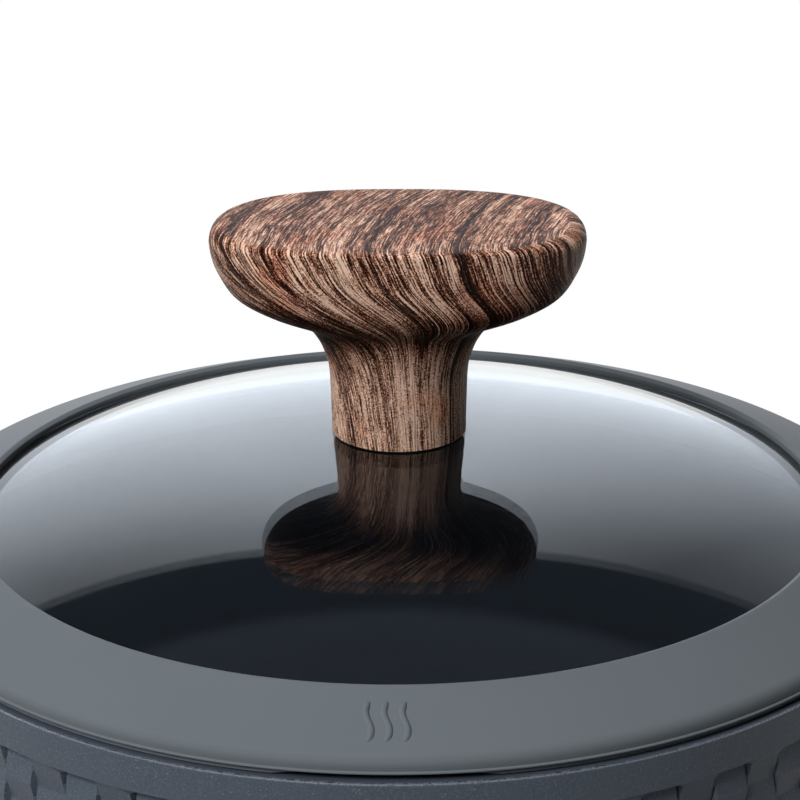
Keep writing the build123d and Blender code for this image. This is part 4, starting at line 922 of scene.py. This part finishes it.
shape = bmesh.new()
film = shape.loops.layers.uv.new("film")
grid, film_of = [], {}
for row in knob_rows:
    ring_of = []
    for (x, y, z), on_film in row:
        vertex = shape.verts.new((x * MM, y * MM, (knob_low + z) * MM))
        film_of[vertex] = on_film
        ring_of.append(vertex)
    grid.append(ring_of)
for row, above in zip(grid, grid[1:]):
    for j in range(KNOB_COLUMNS):
        k = (j + 1) % KNOB_COLUMNS
        shape.faces.new((row[j], row[k], above[k], above[j]))
for end, height in ((grid[0], 0.0), (grid[-1], KNOB_H)):
    middle = shape.verts.new((0, 0, (knob_low + height) * MM))
    film_of[middle] = (0.0, 0.0)
    for j in range(KNOB_COLUMNS):
        k = (j + 1) % KNOB_COLUMNS
        shape.faces.new((end[j], end[k], middle))
for face in shape.faces:
    for loop in face.loops:
        loop[film].uv = [part / FILM_SPAN for part in film_of[loop.vert]]
bmesh.ops.recalc_face_normals(shape, faces=shape.faces)
mesh = bpy.data.meshes.new("knob_moulding")
shape.to_mesh(mesh)
shape.free()
knob = new_object("knob_moulding", mesh)
bpy.ops.object.shade_smooth_by_angle(angle=radians(50))

# Wood-print film under a matt lacquer: warm brown in pale and dark streaks along the grain, dark lines, and
# the ink's screen dots over all, with hardly any gloss. The dots are drawn coarser than real, to show.
STREAKS = (  # width, length, detail, shift and weight
    (6.0, 90.0, 1.0, 0.0, 0.85),
    (1.05, 40.0, 2.0, 7.0, 0.92),
    (0.32, 4.5, 1.0, 3.0, 1.45),
)
DARK_LINES = (2.6, 60.0, 0.0, 11.0)
DARK_BANDS = (  # place across the grain, half width and depth of tone
    (-2.5, 1.7, 0.22), (-31.0, 1.7, 0.22), (14.0, 1.1, 0.22), (-52.0, 9.0, 0.30),
)
BAND_CORE = 0.3
DOTS_A_MM = 3.0
SWAY_LONG, SWAY_WIDE = 20.0, 1.8
RUST_PATCH = 11.1
RUST_FROM, RUST_TO, RUST_MOST = 0.52, 0.66, 0.4
# Painted light: the print is paler on the neck between these heights, by this much, for the light that falls
# on it.
NECK_LIGHT_FROM, NECK_LIGHT_TO, NECK_PAINTED_LIGHT = 10.0, 22.0, 0.17
# A darker band round the shoulder. It is painted shade under the head, and partly the denser grain that the
# print has where it gathers.
FOLD_SHADE_H, FOLD_SHADE_CORE, FOLD_SHADE_HALF_H, FOLD_SHADE_DARK = 24.0, 2.0, 8.0, 0.20
# The print's contrast about its middle is wider where the knob faces sideways than on its top. This is painted
# light and shade for light raking across the sides.
PRINT_MIDDLE, SIDE_SPREAD, TOP_SPREAD = 2.12, 0.29, 0.42
SIDE_FACES_UP, TOP_FACES_UP = 0.3, 0.9
HANDLE_GRAIN_TURN = 17.19


def wood_print(name, from_film):
    """The printed film's material, laid out by the knob's own flat map, or straight on to the handles."""
    made, tree, shader = new_material(name, "#8A6656", 0.48, Specular_IOR_Level=0.07)
    place = add(tree, "TexCoord").outputs
    if from_film:
        film = add(tree, "VectorMath", {0: place["UV"], "Scale": FILM_SPAN}, operation="SCALE").outputs[0]
        height = add(tree, "SeparateXYZ", {0: place["Object"]}).outputs["Z"]
        # Painted light: the print is paler on the neck, for the light that falls on it below the head.
        neck_light = {1: (knob_low + NECK_LIGHT_FROM) * MM, 2: (knob_low + NECK_LIGHT_TO) * MM, 3: NECK_PAINTED_LIGHT, 4: 0.0}
        mixed = add(tree, "MapRange", {0: height, **neck_light}).outputs[0]
        # The band under the head is darker. This is painted shade for the head's underside, and partly the
        # denser grain where the film gathers.
        fold_shade_off = add(tree, "Math", {0: height, 1: (knob_low + FOLD_SHADE_H) * MM}, operation="SUBTRACT").outputs[0]
        over_grain = add(tree, "SeparateXYZ", {0: film}).outputs["X"]
        shades = [(fold_shade_off, FOLD_SHADE_CORE * MM, FOLD_SHADE_HALF_H * MM, FOLD_SHADE_DARK)]
        for middle, half, depth in DARK_BANDS:
            off = add(tree, "Math", {0: over_grain, 1: middle}, operation="SUBTRACT").outputs[0]
            shades.append((off, half * BAND_CORE, half, depth))
        for off, core, half, depth in shades:
            off = add(tree, "Math", {0: off}, operation="ABSOLUTE").outputs[0]
            dark = {0: off, 1: core, 2: half, 3: -depth, 4: 0.0}
            dark = add(tree, "MapRange", dark, interpolation_type="SMOOTHSTEP").outputs[0]
            mixed = add(tree, "Math", {0: mixed, 1: dark}, operation="ADD").outputs[0]
    else:
        mixed = 0.0
        turn = (0, 0, radians(HANDLE_GRAIN_TURN))
        film = {0: place["Object"], "Scale": (1 / MM, 1 / MM, 1 / MM), "Rotation": turn}
        film = add(tree, "Mapping", film).outputs[0]
    in_mm = add(tree, "VectorMath", {0: place["Object"], "Scale": 1 / MM}, operation="SCALE").outputs[0]
    sway = {"Vector": film, "Scale": 1 / SWAY_LONG, "Detail": 1.0}
    sway = add(tree, "TexNoise", sway, noise_dimensions="2D").outputs["Color"]
    bend = add(tree, "VectorMath", {0: sway, 1: (0.5, 0.5, 0.5)}, operation="SUBTRACT").outputs[0]
    bent = {0: bend, 1: (SWAY_WIDE, 0.0, 0.0), 2: film}
    bent = add(tree, "VectorMath", bent, operation="MULTIPLY_ADD").outputs[0]

    def streaks(width, length, detail, shift):
        """Noise in streaks of a width and a length along the grain."""
        drawn = {0: bent, 1: (1 / width, 1 / length, 1.0), 2: (shift, shift, 0.0)}
        drawn = add(tree, "VectorMath", drawn, operation="MULTIPLY_ADD").outputs[0]
        drawn = {"Vector": drawn, "Scale": 1.0, "Detail": detail, "Roughness": 0.65}
        return add(tree, "TexNoise", drawn, noise_dimensions="2D").outputs["Fac"]

    for *streak, weight in STREAKS:
        mixed = {0: streaks(*streak), 1: weight, 2: mixed}
        mixed = add(tree, "Math", mixed, operation="MULTIPLY_ADD").outputs[0]
    dots = add(tree, "TexNoise", {"Vector": in_mm, "Scale": DOTS_A_MM, "Detail": 1.0}).outputs["Fac"]
    mixed = add(tree, "Math", {0: dots, 1: mixed}, operation="ADD").outputs[0]
    # Painted light and shade: the print's contrast widens where a face points sideways, for light raking
    # across the relief there.
    facing = add(tree, "SeparateXYZ", {0: add(tree, "NewGeometry").outputs["Normal"]}).outputs["Z"]
    painted_rake_spread = {0: facing, 1: SIDE_FACES_UP, 2: TOP_FACES_UP, 3: SIDE_SPREAD, 4: TOP_SPREAD}
    painted_rake_spread = add(tree, "MapRange", painted_rake_spread).outputs[0]
    low = add(tree, "Math", {0: PRINT_MIDDLE, 1: painted_rake_spread}, operation="SUBTRACT").outputs[0]
    high = add(tree, "Math", {0: PRINT_MIDDLE, 1: painted_rake_spread}, operation="ADD").outputs[0]
    tone = add(tree, "MapRange", {0: mixed, 1: low, 2: high}).outputs[0]
    wood = add(tree, "ValToRGB", {0: tone}, stops=(
        (0.0, "#120703"),
        (0.22, "#3A2117"),
        (0.45, "#744C3B"),
        (0.68, "#B08069"),
        (1.0, "#ECC9B2"),
    )).outputs[0]
    rust = add(tree, "TexNoise", {"Vector": in_mm, "Scale": 1 / RUST_PATCH, "Detail": 2.0}).outputs["Fac"]
    rust = add(tree, "MapRange", {0: rust, 1: RUST_FROM, 2: RUST_TO, 4: RUST_MOST}).outputs[0]
    warm = {0: rust, 6: wood, 7: "#9A5534"}
    warm = add(tree, "Mix", warm, data_type="RGBA", blend_type="OVERLAY").outputs[2]
    crack = add(tree, "ValToRGB", {0: streaks(*DARK_LINES)}, stops=(
        (0.45, 0.0), (0.478, 0.8), (0.488, 0.8), (0.515, 0.0),
    )).outputs[0]
    inked = add(tree, "Mix", {0: crack, 6: warm, 7: "#1F1512"}, data_type="RGBA").outputs[2]
    relief = add(tree, "Bump", {"Height": mixed, "Strength": 0.3, "Distance": 0.08 * MM})
    tree.links.new(inked, shader.inputs["Base Color"])
    tree.links.new(relief.outputs[0], shader.inputs["Normal"])
    return made


knob.data.materials.append(wood_print("wood_print_film", True))
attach(knob, "lid")
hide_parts("lid_knob")
dress(wood_print("wood_print_handles", False), "handle_left", "handle_right")
dress(rubber, "glass_washer", "knob_seal")
